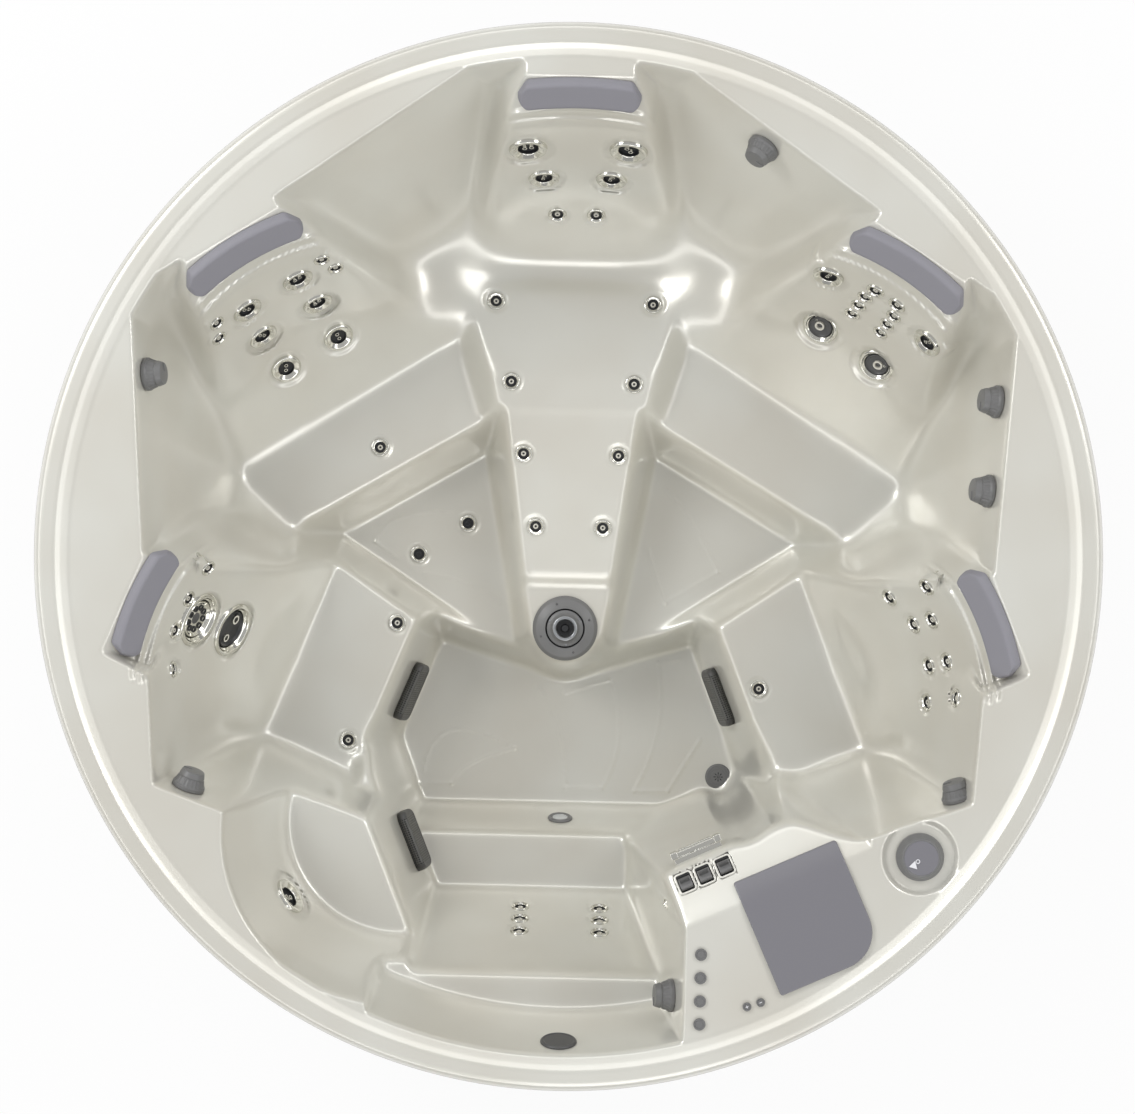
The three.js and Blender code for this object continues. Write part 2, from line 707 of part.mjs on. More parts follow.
// Round trim: a pod fitting, a drain, a light and a cap
const discFitting = (name, place, radius, shank, depth, height, sides, material) => {
  const profile = [[0, -depth], [shank, -depth], [shank, gap], [radius, gap], [radius * 0.94, height], [0, height]];
  keep(name, fitting(place, profile, sides, shank, radius), material);
};
const faceHeight = reachOf(0.0055);
discFitting('drain_cover', placeAt(reachOf(0.329), reachOf(-0.4602)), reachOf(0.0276), reachOf(0.018), reachOf(0.03), faceHeight, 12, 'trim');
discFitting('step_light', onWall(270, -0.0044, 0.1803, 0.3, 0.6), reachOf(0.0258), reachOf(0.018), reachOf(0.03), faceHeight, 12, 'lens');
discFitting('rim_cap', onWall(270, 0.0035, 0.9126, 0.8, 0.93), reachOf(0.0346), reachOf(0.025), reachOf(0.02), faceHeight, 12, 'darkTrim');

const podSides = 16;
const podPlace = { point: new THREE.Vector3(podX, podY, podLevel), out: upward };
const podRing = { outer: reachOf(0.0669), lip: reachOf(0.04), shank: reachOf(0.032), depth: reachOf(0.05) };
const podRise = { lip: reachOf(0.0123), rim: reachOf(0.0175), seat: reachOf(0.0035), top: reachOf(0.0262) };
keep('pod_jet_body', fitting(podPlace, [
  [0, -podRing.depth],
  [podRing.shank, -podRing.depth],
  [podRing.shank, gap],
  [podRing.outer, gap],
  [podRing.outer * 0.94, podRise.lip],
  [podRing.lip, podRise.rim],
  [podRing.lip, podRise.seat],
  [0, podRise.seat],
], podSides, podRing.shank, podRing.outer), 'trim');
const podInner = podRing.lip * Math.cos(Math.PI / podSides) - gap;
const podFace = [
  [0, podRise.seat + gap],
  [podInner, podRise.seat + gap],
  [podInner, podRise.rim * 0.9],
  [podRing.lip * 0.64, podRise.top * 0.8],
  [podRing.lip * 0.6, podRise.top],
  [podRing.lip * 0.32, podRise.top],
  [podRing.lip * 0.28, podRise.rim],
  [0, podRise.rim],
];
const podPort = rod(
  new THREE.Vector3(podX + podRing.lip * 0.8, podY, podLevel + podRise.lip * 0.8),
  new THREE.Vector3(podX + podRing.lip * 0.8, podY, podLevel + podRise.top),
  podRing.lip * 0.09,
  6,
);
keep('pod_jet_face', turnedAt(podPlace, podFace, podSides).subtract(podPort), 'trim');

// Suction covers: a long rounded grille over a pipe stub
const grille = { length: reachOf(0.126), width: reachOf(0.0787), height: reachOf(0.012), pipe: reachOf(0.024), depth: reachOf(0.05) };
function roundedShape(length, width, corner) {
  const shape = new THREE.Shape();
  const x = length / 2 - corner;
  const y = width / 2 - corner;
  shape.absarc(x, y, corner, 0, Math.PI / 2);
  shape.absarc(-x, y, corner, Math.PI / 2, Math.PI);
  shape.absarc(-x, -y, corner, Math.PI, Math.PI * 1.5);
  shape.absarc(x, -y, corner, Math.PI * 1.5, Math.PI * 2);
  shape.closePath();
  return shape;
}
function prism(shape, depth, curveSegments = 4) {
  return new THREE.ExtrudeGeometry(shape, { depth, bevelEnabled: false, curveSegments });
}
// Turns a geometry to a place with its +X kept level
function laid(geometry, place, lift = 0) {
  const level = new THREE.Vector3().crossVectors(upward, place.out).normalize();
  const rise = new THREE.Vector3().crossVectors(place.out, level);
  const basis = new THREE.Matrix4().makeBasis(level, rise, place.out);
  return geometry.translate(0, 0, lift).applyMatrix4(basis).translate(...place.point.toArray());
}
function suctionCover(name, place) {
  const cover = solidOf(laid(prism(roundedShape(grille.length, grille.width, grille.width * 0.4), grille.height, 3), place, gap));
  const stub = rod(
    place.point.clone().addScaledVector(place.out, -grille.depth),
    place.point.clone().addScaledVector(place.out, grille.height * 0.5),
    grille.pipe,
    10,
  );
  pierce(place, grille.pipe + gap, 10);
  keep(name, cover.add(stub), 'darkTrim');
}
suctionCover('suction_cover_left', onWall(158.2, 0.391, 0.1749, 0, 0.4));
suctionCover('suction_cover_right', onWall(21.8, -0.3867, 0.1749, 0, 0.4));
suctionCover('suction_cover_entry', onWall(202.3, 0.4304, 0.3279, 0.3, 0.7));

// Pillows: crowned cushions on the sloping face behind each neck
const pillow = { depth: reachOf(0.078), thick: reachOf(0.023), edge: reachOf(0.009), set: reachOf(0.0035) };
function pillowOn(name, s, halfShare) {
  const half = reachOf(halfShare);
  const cushion = new THREE.BoxGeometry(2, 1, 1, 10, 4, 1);
  const spots = cushion.attributes.position;
  const facing = radians(s.facing);
  const outward = new THREE.Vector3(Math.cos(facing), Math.sin(facing), 0);
  const along = new THREE.Vector3(-Math.sin(facing), Math.cos(facing), 0);
  const lean = radians(pillowLean);
  const rise = outward.clone().multiplyScalar(Math.sin(lean)).addScaledVector(upward, Math.cos(lean));
  const out = outward.clone().multiplyScalar(-Math.cos(lean)).addScaledVector(upward, Math.sin(lean));
  const foot = outward.clone().multiplyScalar(s.neck + pillowSet)
    .addScaledVector(along, s.offset)
    .addScaledVector(upward, deckLevel)
    .addScaledVector(rise, -pillow.set - pillow.depth / 2);
  for (let index = 0; index < spots.count; index += 1) {
    const side = Math.sin((spots.getX(index) * Math.PI) / 2);
    const across01 = spots.getY(index);
    const swell = Math.sqrt(Math.max(0, 1 - Math.abs(side) ** 5));
    const crown = Math.cos(across01 * Math.PI) ** 0.6;
    const raisedBy = pillow.edge + (pillow.thick - pillow.edge) * Math.max(0, crown) * (0.35 + 0.65 * swell);
    const sag = (half * side) ** 2 / (2 * s.arc);
    const up01 = spots.getZ(index) + 0.5;
    const spot = foot.clone()
      .addScaledVector(along, -half * side)
      .addScaledVector(rise, across01 * pillow.depth * (0.72 + 0.28 * swell) - sag)
      .addScaledVector(out, gap + up01 * raisedBy);
    spots.setXYZ(index, spot.x, spot.y, spot.z);
  }
  keep(name, solidOf(cushion), 'pillow');
}
pillowOn('pillow_lounge', loungeSeat, 0.111);
pillowOn('pillow_left_seat', leftSeat, 0.125);
pillowOn('pillow_right_seat', rightSeat, 0.125);
pillowOn('pillow_left_corner', leftCorner, 0.103);
pillowOn('pillow_right_corner', rightCorner, 0.103);

// The island's own frame: across it, and out from the pool
const islandTurn = radians(islandFacing - 270);
const islandSpot = (uShare, rShare, level) => new THREE.Vector3(reachOf(uShare), -reachOf(rShare), level)
  .applyAxisAngle(upward, islandTurn);
const islandPlace = (uShare, rShare) => {
  const { x, y } = islandSpot(uShare, rShare, 0);
  return placeAt(x, y);
};

// The filter lid follows the island's top and bends down its slope
const topPlanes = [wall(0, 0, deckLevel, -90), island.walls[0]];
const lid = { thick: sheet, corner: reachOf(0.07), ring: reachOf(0.076), ringDrop: reachOf(0.012) };
function lidShape(grow) {
  const [left, right, front, back] = [0.0446, 0.2537, -0.685, -0.912].map(reachOf);
  const shape = new THREE.Shape();
  shape.moveTo(left - grow, front + grow);
  shape.lineTo(left - grow, back - grow);
  shape.lineTo(right - lid.corner, back - grow);
  shape.absarc(right - lid.corner, back + lid.corner, lid.corner + grow, Math.PI * 1.5, Math.PI * 2);
  shape.lineTo(right + grow, front + grow);
  shape.closePath();
  return shape;
}
function onTop(shapeOf, low, high) {
  const upTo = (level, grow) => {
    const column = solidOf(prism(shapeOf(grow), tubHeight, 6).rotateZ(islandTurn));
    return cutBy(column, topPlanes.map((plane) => halfSpace(plane, level)));
  };
  return upTo(high, 0).subtract(upTo(low, sheet));
}
const filterAxis = islandSpot(0.149, 0.8225, 0);
const filterPart = (profile, sides) => solidOf(turned(profile, sides).translate(filterAxis.x, filterAxis.y, 0));
const ringTop = deckLevel + lid.thick / 2;
const ringLow = deckLevel - lid.ringDrop;
const lidRing = filterPart([
  [lid.ring, ringLow],
  [lid.ring, ringTop],
  [lid.ring - lid.thick / 2, ringTop],
  [lid.ring - lid.thick / 2, ringLow],
  [lid.ring, ringLow],
], 16);
keep('filter_lid', onTop(lidShape, gap, lid.thick).add(lidRing), 'trim');

const canister = {
  bore: reachOf(0.08),
  skin: reachOf(0.0035),
  flange: reachOf(0.091),
  low: atHeight(0.56),
};
const canisterTop = deckLevel - sheet - gap;
const canisterOuter = canister.bore + canister.skin;
holes.push(filterPart([[0, canister.low], [canister.bore, canister.low], [canister.bore, tubHeight * 1.1], [0, tubHeight * 1.1]], 18));
keep('filter_canister', filterPart([
  [0, canister.low],
  [canisterOuter, canister.low],
  [canisterOuter, canisterTop - canister.skin],
  [canister.flange, canisterTop - canister.skin],
  [canister.flange, canisterTop],
  [canister.bore, canisterTop],
  [canister.bore, canister.low + canister.skin],
  [0, canister.low + canister.skin],
], 18), 'plastic');
const cartridge = { radius: reachOf(0.06), cap: reachOf(0.066), capHeight: reachOf(0.012), top: atHeight(0.9) };
const cartridgeLow = canister.low + canister.skin + gap;
keep('filter_cartridge', filterPart([
  [0, cartridgeLow],
  [cartridge.cap, cartridgeLow],
  [cartridge.cap, cartridgeLow + cartridge.capHeight],
  [cartridge.radius, cartridgeLow + cartridge.capHeight],
  [cartridge.radius, cartridge.top - cartridge.capHeight],
  [cartridge.cap, cartridge.top - cartridge.capHeight],
  [cartridge.cap, cartridge.top],
  [0, cartridge.top],
], 12), 'paper');

// Levers for the waterfall: barrels in windows of the slope, over a valve block
const leverSides = 12;
const lever = { barrel: reachOf(0.0122), half: reachOf(0.0125), blade: reachOf(0.0035), reach: reachOf(0.016), stand: reachOf(0.012) };
const leverWindow = { width: reachOf(0.0306), length: reachOf(0.0376) };
const leverShares = [-0.0371, 0.0019, 0.0426];
const leverRow = 0.6518;
const slopeSpot = (uShare, rShare) => ({ point: islandPlace(uShare, rShare).point, out: island.walls[0].normal });
const inSlope = (geometry, uShare, depth) => solidOf(laid(geometry.translate(0, 0, -depth), slopeSpot(uShare, leverRow)));
leverShares.forEach((uShare, index) => {
  holes.push(inSlope(new THREE.BoxGeometry(leverWindow.width, leverWindow.length, sheet * 4), uShare, 0));
  const barrel = new THREE.CylinderGeometry(lever.barrel, lever.barrel, lever.half * 2, leverSides).rotateZ(Math.PI / 2);
  const blade = new THREE.BoxGeometry(lever.half * 1.6, lever.blade, lever.reach + lever.stand)
    .translate(0, 0, (lever.reach + lever.stand) / 2);
  const solid = inSlope(barrel, uShare, sheet / 2).add(inSlope(blade, uShare, sheet / 2));
  keep(`waterfall_lever_${index + 1}`, solid, 'darkTrim');
});
const valve = { width: reachOf(0.13), length: reachOf(0.052), depth: reachOf(0.045) };
const valveDepth = sheet + gap + valve.depth / 2;
const valveBlock = inSlope(new THREE.BoxGeometry(valve.width, valve.length, valve.depth), leverShares[1], valveDepth);
const grooveWidth = lever.half * 2 + gap * 4;
const grooveRadius = turningRoom(lever.barrel, leverSides);
const grooves = leverShares.map((uShare) => inSlope(
  new THREE.CylinderGeometry(grooveRadius, grooveRadius, grooveWidth, leverSides).rotateZ(Math.PI / 2),
  uShare,
  sheet / 2,
));
keep('waterfall_valve_block', cutBy(valveBlock, grooves), 'plastic');

// The waterfall spout, proud of the island's front
const spout = { half: reachOf(0.0503), out: reachOf(0.015), rise: reachOf(0.016), stub: reachOf(0.009) };
const spoutPlace = (() => {
  const { x, y } = islandSpot(0.0066, 0.6, 0);
  return onWall(islandFacing, (x * -across(islandFacing)[1] + y * across(islandFacing)[0]) / rimRadius, 0.874, 0.5, 0.66);
})();
const lip = new THREE.Shape([[0, -0.5], [0.55, -0.5], [1, -0.1], [1, 0.15], [0.5, 0.5], [0, 0.5]]
  .map(([out, up]) => new THREE.Vector2(out * spout.out, up * spout.rise)));
const lipBar = prism(lip, spout.half * 2).translate(0, 0, -spout.half)
  .applyMatrix4(new THREE.Matrix4().makeBasis(upward, new THREE.Vector3(0, 1, 0), new THREE.Vector3(-1, 0, 0)));
pierce(spoutPlace, spout.stub + gap, 10);
const spoutStub = rod(
  spoutPlace.point.clone().addScaledVector(spoutPlace.out, -reachOf(0.03)),
  spoutPlace.point.clone().addScaledVector(spoutPlace.out, spout.out / 2),
  spout.stub,
  10,
);
keep('waterfall_spout', solidOf(laid(lipBar, spoutPlace, gap)).add(spoutStub), 'chrome');

// Push buttons on the deck
const button = { large: reachOf(0.0114), small: reachOf(0.0083), proud: reachOf(0.0035), depth: reachOf(0.022), sides: 10 };
const buttonShares = [
  ['button_1', 0.266, -0.7384, 'large'],
  ['button_2', 0.266, -0.7822, 'large'],
  ['button_3', 0.266, -0.8259, 'large'],
  ['button_4', 0.266, -0.8688, 'large'],
  ['button_plus', 0.3543, -0.8338, 'small'],
  ['button_minus', 0.3797, -0.825, 'small'],
];
buttonShares.forEach(([name, x, y, size]) => {
  const place = { point: new THREE.Vector3(reachOf(x), reachOf(y), deckLevel), out: upward };
  const radius = button[size];
  pierce(place, radius + gap, button.sides);
  keep(name, turnedAt(place, [
    [0, -button.depth],
    [radius * 0.5, -button.depth],
    [radius * 0.5, -sheet],
    [radius, -sheet],
    [radius, button.proud],
    [0, button.proud],
  ], button.sides), 'trim');
});

// The diverter: a broad handle in the tray, over a three-port valve
const diverter = {
  base: reachOf(0.0451),
  top: reachOf(0.036),
  skirt: reachOf(0.009),
  height: reachOf(0.026),
  stem: reachOf(0.012),
  body: reachOf(0.04),
  bodyDrop: reachOf(0.105),
  port: reachOf(0.022),
  portReach: reachOf(0.068),
};
const trayPlace = { point: new THREE.Vector3(trayX, trayY, trayLevel), out: upward };
const diverterTop = -sheet - gap;
const stemDrop = diverterTop - reachOf(0.02);
const handle = turningFitting(trayPlace, [
  [0, stemDrop],
  [diverter.stem, stemDrop],
  [diverter.stem, gap],
  [diverter.base, gap],
  [diverter.base, diverter.skirt],
  [diverter.top, diverter.height],
  [0, diverter.height],
], 20, diverter.stem, diverter.base);
const pointer = new THREE.BoxGeometry(diverter.top * 0.5, diverter.top * 0.2, diverter.skirt * 0.4)
  .translate(-diverter.top * 0.6, 0, diverter.height)
  .rotateZ(Math.PI / 4);
keep('diverter_handle', handle.add(solidOf(aimed(pointer, trayPlace.point, upward))), 'trim');
const socket = [[0, stemDrop - gap], [diverter.stem + gap, stemDrop - gap], [diverter.stem + gap, sheet], [0, sheet]];
const bodyLow = diverterTop - diverter.bodyDrop;
const valveBody = turnedAt(trayPlace, [[0, bodyLow], [diverter.body, bodyLow], [diverter.body, diverterTop], [0, diverterTop]], 16);
const portLevel = trayLevel + bodyLow * 0.6;
const ports = [0, 120, 240].map((direction) => {
  const [x, y] = across(direction + 30);
  const from = new THREE.Vector3(trayX, trayY, portLevel);
  return rod(from, from.clone().add(new THREE.Vector3(x, y, 0).multiplyScalar(diverter.portReach)), diverter.port, 10);
});
keep('diverter_body', joined([valveBody, ...ports]).subtract(turnedAt(trayPlace, socket, 20)), 'plastic');

// The cabinet: a base, curved panels with a service door, and an insulated frame that carries the rim
const base = { radius: reachOf(0.978), height: atHeight(0.033) };
keep('base_pan', solidOf(turned([[0, 0], [base.radius, 0], [base.radius, base.height], [0, base.height]], 48)), 'plastic');

const panel = { outer: reachOf(0.9746), skin: reachOf(0.012), low: base.height + gap, top: atHeight(0.962) };
const doorTop = tubHeight - lipDrop - reachOf(0.003);
const seam = 0.15;
const arcStep = 7;
function arcWall(outer, inner, from, to, low, high) {
  const shape = new THREE.Shape();
  shape.absarc(0, 0, outer, radians(from), radians(to));
  shape.absarc(0, 0, inner, radians(to), radians(from), true);
  shape.closePath();
  return solidOf(prism(shape, high - low, Math.round((to - from) / arcStep)).translate(0, 0, low));
}
function arcPanel(name, from, to, top) {
  keep(name, arcWall(panel.outer, panel.outer - panel.skin, from + seam, to - seam, panel.low, top), 'cabinet');
}
arcPanel('service_door', -130, -50, doorTop);
arcPanel('side_panel_right', -50, 90, panel.top);
arcPanel('side_panel_left', 90, 230, panel.top);

const frameRing = (low, top) => solidOf(turned([
  [frame.inner, low],
  [frame.outer, low],
  [frame.outer, top],
  [frame.inner, top],
  [frame.inner, low],
], 36));
const frame = { inner: reachOf(0.946), outer: reachOf(0.9585), post: reachOf(0.04), top: atHeight(0.975), band: atHeight(0.045) };
const frameLow = base.height + gap;
const posts = [0, 45, 90, 135, 180, 225, 315].map((direction) => {
  const width = frame.outer - frame.inner;
  const middle = (frame.outer + frame.inner) / 2 - width * 0.08;
  const [x, y] = across(direction);
  const height = frame.top - frameLow - frame.band;
  return block(width * 0.7, frame.post, height, x * middle, y * middle, (frame.top + frameLow) / 2, radians(direction));
});
const infillSet = (frame.outer - frame.inner) / 4;
const infill = arcWall(frame.outer - infillSet, frame.inner + infillSet, -45, 225, frameLow, frame.top);
keep('support_frame', joined([
  frameRing(frameLow, frameLow + frame.band),
  frameRing(frame.top - frame.band, frame.top),
  infill,
  ...posts,
]), 'frame');

// Pumps, heater and control box behind the service door
const pump = {
  motor: reachOf(0.066),
  motorLength: reachOf(0.2),
  wet: reachOf(0.08),
  wetLength: reachOf(0.075),
  outlet: reachOf(0.024),
  outletReach: reachOf(0.12),
  foot: reachOf(0.09),
};
function pumpAt(name, azimuth, reach, handed) {
  const [x, y] = across(azimuth);
  const middle = new THREE.Vector3(x * reach, y * reach, base.height + gap + pump.wet * 1.1);
  const along = new THREE.Vector3(-y * handed, x * handed, 0);
  const spot = (share) => middle.clone().addScaledVector(along, share);
  const motorEnd = -pump.motorLength;
  const footTop = middle.z - pump.motor * 0.5;
  const footHeight = footTop - base.height - gap;
  const foot = block(pump.motorLength * 0.7, pump.foot, footHeight, ...spot(motorEnd / 2).setZ(footTop - footHeight / 2).toArray(), radians(azimuth + 90));
  keep(`${name}_motor`, rod(spot(motorEnd), spot(0), pump.motor, 14).add(foot), 'plastic');
  const wet = rod(spot(gap), spot(pump.wetLength), pump.wet, 16);
  const inlet = rod(spot(pump.wetLength / 2), spot(pump.wetLength + pump.outlet * 1.6), pump.outlet, 10);
  const outlet = rod(spot(pump.wetLength / 2), spot(pump.wetLength / 2).addScaledVector(upward, pump.outletReach), pump.outlet, 10);
  keep(`${name}_wet_end`, joined([wet, inlet, outlet]), 'darkTrim');
}
pumpAt('pump_1', 232, reachOf(0.815), -1);
pumpAt('pump_2', 300, reachOf(0.825), 1);

const box = { width: reachOf(0.26), depth: reachOf(0.08), height: atHeight(0.22), y: reachOf(-0.86), x: reachOf(0) };
const boxLow = base.height + gap;
keep('control_box', block(box.width, box.depth, box.height, box.x, box.y, boxLow + box.height / 2), 'cabinet');
const heater = { radius: reachOf(0.034), half: reachOf(0.13), foot: reachOf(0.03), port: reachOf(0.021), portReach: reachOf(0.07) };
const heaterLow = boxLow + box.height + gap;
const heaterAxis = heaterLow + heater.foot + heater.radius * 0.6;
const heaterSpot = (share, level) => new THREE.Vector3(heater.half * share, box.y, level);
keep('heater', joined([
  rod(heaterSpot(-1, heaterAxis), heaterSpot(1, heaterAxis), heater.radius, 14),
  ...[-0.7, 0.7].map((share) => rod(heaterSpot(share, heaterAxis), heaterSpot(share, heaterAxis + heater.portReach), heater.port, 10)),
  ...[-0.5, 0.5].map((share) => block(heater.foot, box.depth * 0.7, heaterAxis - heaterLow, heater.half * share, box.y, (heaterAxis + heaterLow) / 2)),
]), 'chrome');

// The shell is a sheet that follows its hollows, below a deck and a rolled rim
const underTop = deckLevel - sheet / 2;
const belowDeck = block(beyond, beyond, underTop, 0, 0, underTop / 2);
const moulding = joined([rimSolid(), shellVoid(sheet).intersect(belowDeck)]);
keep('shell', mainBody(cutBy(moulding, [shellVoid(0), ...holes])), 'acrylic');

const group = new THREE.Group();
group.add(...meshes);
export default group;
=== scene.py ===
# %% [markdown]
# A round acrylic hot tub, seen from straight above.
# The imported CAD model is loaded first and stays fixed: it holds every joint and every real size.
# Blender then adds what a flat-faced solid can't show: the soft fillets of the heated sheet,
# the dished seats of the jets, moulded foam pillows and the gloss of the acrylic.

# %% Load the frame
import json
import math

import bmesh
import bpy
import numpy as np
from mathutils import Matrix, Vector


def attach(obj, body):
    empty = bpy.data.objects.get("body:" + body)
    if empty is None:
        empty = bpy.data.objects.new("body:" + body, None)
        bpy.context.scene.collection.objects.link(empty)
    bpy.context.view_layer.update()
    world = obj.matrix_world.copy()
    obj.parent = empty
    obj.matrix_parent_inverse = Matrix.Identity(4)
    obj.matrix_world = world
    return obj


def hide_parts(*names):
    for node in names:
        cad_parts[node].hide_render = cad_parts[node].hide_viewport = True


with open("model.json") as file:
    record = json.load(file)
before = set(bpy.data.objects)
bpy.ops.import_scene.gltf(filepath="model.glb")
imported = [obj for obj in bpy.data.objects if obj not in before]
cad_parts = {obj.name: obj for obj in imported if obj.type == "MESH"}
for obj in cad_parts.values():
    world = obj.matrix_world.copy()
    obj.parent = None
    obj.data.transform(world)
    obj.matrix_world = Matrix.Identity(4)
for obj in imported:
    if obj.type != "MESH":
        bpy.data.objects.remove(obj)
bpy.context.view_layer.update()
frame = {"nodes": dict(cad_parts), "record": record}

# %% [markdown]
# All sizes are in metres. The rim's radius and the tub's height drive the rest, as in the CAD,
# so places on the tub are written as shares of these two.

# %% Driving sizes
RIM = 1.143
HEIGHT = 0.915
SHEET = 0.009
RISE = 0.0003
DECK = 0.98 * HEIGHT
NECK = 0.89 * HEIGHT
ARM = 0.426 * HEIGHT
PAN = 0.366 * HEIGHT
KNEE = 0.437 * HEIGHT
POD = 0.311 * HEIGHT
SIDE_WELL = 0.197 * HEIGHT
WELL = 0.0874 * HEIGHT
TREAD = 0.273 * HEIGHT
COOL_PAN = 0.612 * HEIGHT
LEDGE = 0.743 * HEIGHT
TRAY = DECK - 0.013 * HEIGHT
UP = Vector((0, 0, 1))
print("rim radius", RIM, "height", HEIGHT)

# %% [markdown]
# The photograph was taken from straight above, from far enough away that the walls only lean
# outwards a little. A long lens six metres over the rim gives the same small perspective.
# The tub stands turned by 1.4 degrees in the picture, so the camera turns instead of the tub.

# %% Camera
CAMERA_LEVEL = 6.915
CAMERA_TURN = math.radians(1.4)
PICTURE_WIDTH = 1135
FOCAL_PIXELS = 2814
SENSOR = 36

lens = bpy.data.cameras.new("overhead")
lens.sensor_width = SENSOR
lens.lens = FOCAL_PIXELS * SENSOR / PICTURE_WIDTH
lens.shift_x = -1 / PICTURE_WIDTH
lens.shift_y = -0.5 / PICTURE_WIDTH
lens.clip_end = 60
camera = bpy.data.objects.new("overhead", lens)
camera.location = (0, 0, CAMERA_LEVEL)
camera.rotation_euler = (0, 0, CAMERA_TURN)
bpy.context.collection.objects.link(camera)
bpy.context.scene.camera = camera
print("lens", round(lens.lens, 1), "mm")

# %% [markdown]
# Glossy acrylic needs something to reflect. From straight above, a fillet shows what stands some
# forty to fifty degrees from the zenith, so the world has a bright ring there, like strip lamps
# hung round a studio, and is dimmer elsewhere. Three soft lamps give the tub a lit side.
# The camera itself sees a white backdrop, which takes no part in the light.

# %% Light and backdrop
SKY_PEAK = 2.6
SKY_END = 0.19
SKY_BANDS = ((0.3, 0.14), (0.47, 0.18), (0.53, 1.0), (0.62, 1.0), (0.68, 0.22), (0.85, 0.19))

world = bpy.data.worlds.new("pale room")
bpy.context.scene.world = world
world.use_nodes = True
room = world.node_tree
room.nodes.clear()
rays = room.nodes.new("ShaderNodeLightPath")
direction = room.nodes.new("ShaderNodeTexCoord")
parts = room.nodes.new("ShaderNodeSeparateXYZ")
bands = room.nodes.new("ShaderNodeValToRGB")
for height, level in SKY_BANDS:
    stop = bands.color_ramp.elements.new(height)
    stop.color = (level, level, level, 1)
for end in (0, -1):
    bands.color_ramp.elements[end].color = (SKY_END, SKY_END, SKY_END, 1)
fill = room.nodes.new("ShaderNodeBackground")
fill.inputs["Strength"].default_value = SKY_PEAK
room.links.new(direction.outputs["Generated"], parts.inputs[0])
room.links.new(parts.outputs["Z"], bands.inputs["Fac"])
room.links.new(bands.outputs["Color"], fill.inputs["Color"])
seen = room.nodes.new("ShaderNodeBackground")
seen.inputs["Color"].default_value = (1, 1, 1, 1)
seen.inputs["Strength"].default_value = 1
blend = room.nodes.new("ShaderNodeMixShader")
result = room.nodes.new("ShaderNodeOutputWorld")
room.links.new(rays.outputs["Is Camera Ray"], blend.inputs["Fac"])
room.links.new(fill.outputs[0], blend.inputs[1])
room.links.new(seen.outputs[0], blend.inputs[2])
room.links.new(blend.outputs[0], result.inputs["Surface"])


def area_lamp(name, place, target, size, power):
    """A square soft lamp that faces a target"""
    data = bpy.data.lights.new(name, "AREA")
    data.size = size
    data.energy = power
    lamp = bpy.data.objects.new(name, data)
    lamp.location = place
    lamp.rotation_euler = (Vector(target) - Vector(place)).to_track_quat("-Z", "Y").to_euler()
    bpy.context.collection.objects.link(lamp)
    return lamp


area_lamp("key", (-3.4, 2.2, 4.0), (0, 0, 0.4), 1.8, 78)
area_lamp("rim light", (3.2, 1.6, 3.6), (0, 0, 0.4), 1.4, 26)
area_lamp("front fill", (0.6, -3.6, 4.2), (0, 0, 0.4), 1.8, 22)
bpy.context.scene.view_settings.view_transform = "Standard"

# %% [markdown]
# Materials are built from nodes. One small helper sets the constants on the shader's own sockets,
# and each finish then adds its own texture: a slight ripple, a grain or a pattern of holes.

# %% Finish helper
def colour(red, green, blue):
    """An sRGB colour of 0 to 255 as linear values"""
    parts = [v / 255 for v in (red, green, blue)]
    return tuple(v / 12.92 if v <= 0.04045 else ((v + 0.055) / 1.055) ** 2.4 for v in parts) + (1,)


def finish(name, base, roughness, metallic=0.0, coat=0.0, coat_roughness=0.05, specular=0.5):
    """A material and its shader, with constants on the shader's sockets"""
    made = bpy.data.materials.new(name)
    made.use_nodes = True
    shader = made.node_tree.nodes["Principled BSDF"]
    shader.inputs["Base Color"].default_value = base
    shader.inputs["Roughness"].default_value = roughness
    shader.inputs["Metallic"].default_value = metallic
    shader.inputs["Coat Weight"].default_value = coat
    shader.inputs["Coat Roughness"].default_value = coat_roughness
    shader.inputs["Specular IOR Level"].default_value = specular
    made.diffuse_color = base
    return made


def add_node(made, kind, **inputs):
    """A new node with its input values set by name"""
    node = made.node_tree.nodes.new(kind)
    for key, value in inputs.items():
        node.inputs[key.replace("_", " ")].default_value = value
    return node


def link(made, start, output, end, socket):
    made.node_tree.links.new(start.outputs[output], end.inputs[socket])


def shader_of(made):
    return made.node_tree.nodes["Principled BSDF"]


def vary_colour(made, dark, light, scale, detail=2.0):
    """Soft noise between two colours, on Object coordinates"""
    spot = add_node(made, "ShaderNodeTexCoord")
    noise = add_node(made, "ShaderNodeTexNoise", Scale=scale, Detail=detail)
    ramp = add_node(made, "ShaderNodeValToRGB")
    ramp.color_ramp.elements[0].position = 0.35
    ramp.color_ramp.elements[0].color = dark
    ramp.color_ramp.elements[1].position = 0.65
    ramp.color_ramp.elements[1].color = light
    link(made, spot, "Object", noise, "Vector")
    link(made, noise, "Fac", ramp, "Fac")
    link(made, ramp, "Color", shader_of(made), "Base Color")


def add_grain(made, scale, strength, distance=0.0004):
    """A fine bump from noise, on Object coordinates"""
    spot = add_node(made, "ShaderNodeTexCoord")
    noise = add_node(made, "ShaderNodeTexNoise", Scale=scale, Detail=3.0)
    bump = add_node(made, "ShaderNodeBump", Strength=strength, Distance=distance)
    link(made, spot, "Object", noise, "Vector")
    link(made, noise, "Fac", bump, "Height")
    link(made, bump, "Normal", shader_of(made), "Normal")


# %% [markdown]
# The pearl acrylic is a pale warm grey with a clear gloss over a softer sheen. Real pearl sheet
# has tiny mica flakes, so its colour drifts slightly from cool to warm over a hand's width.

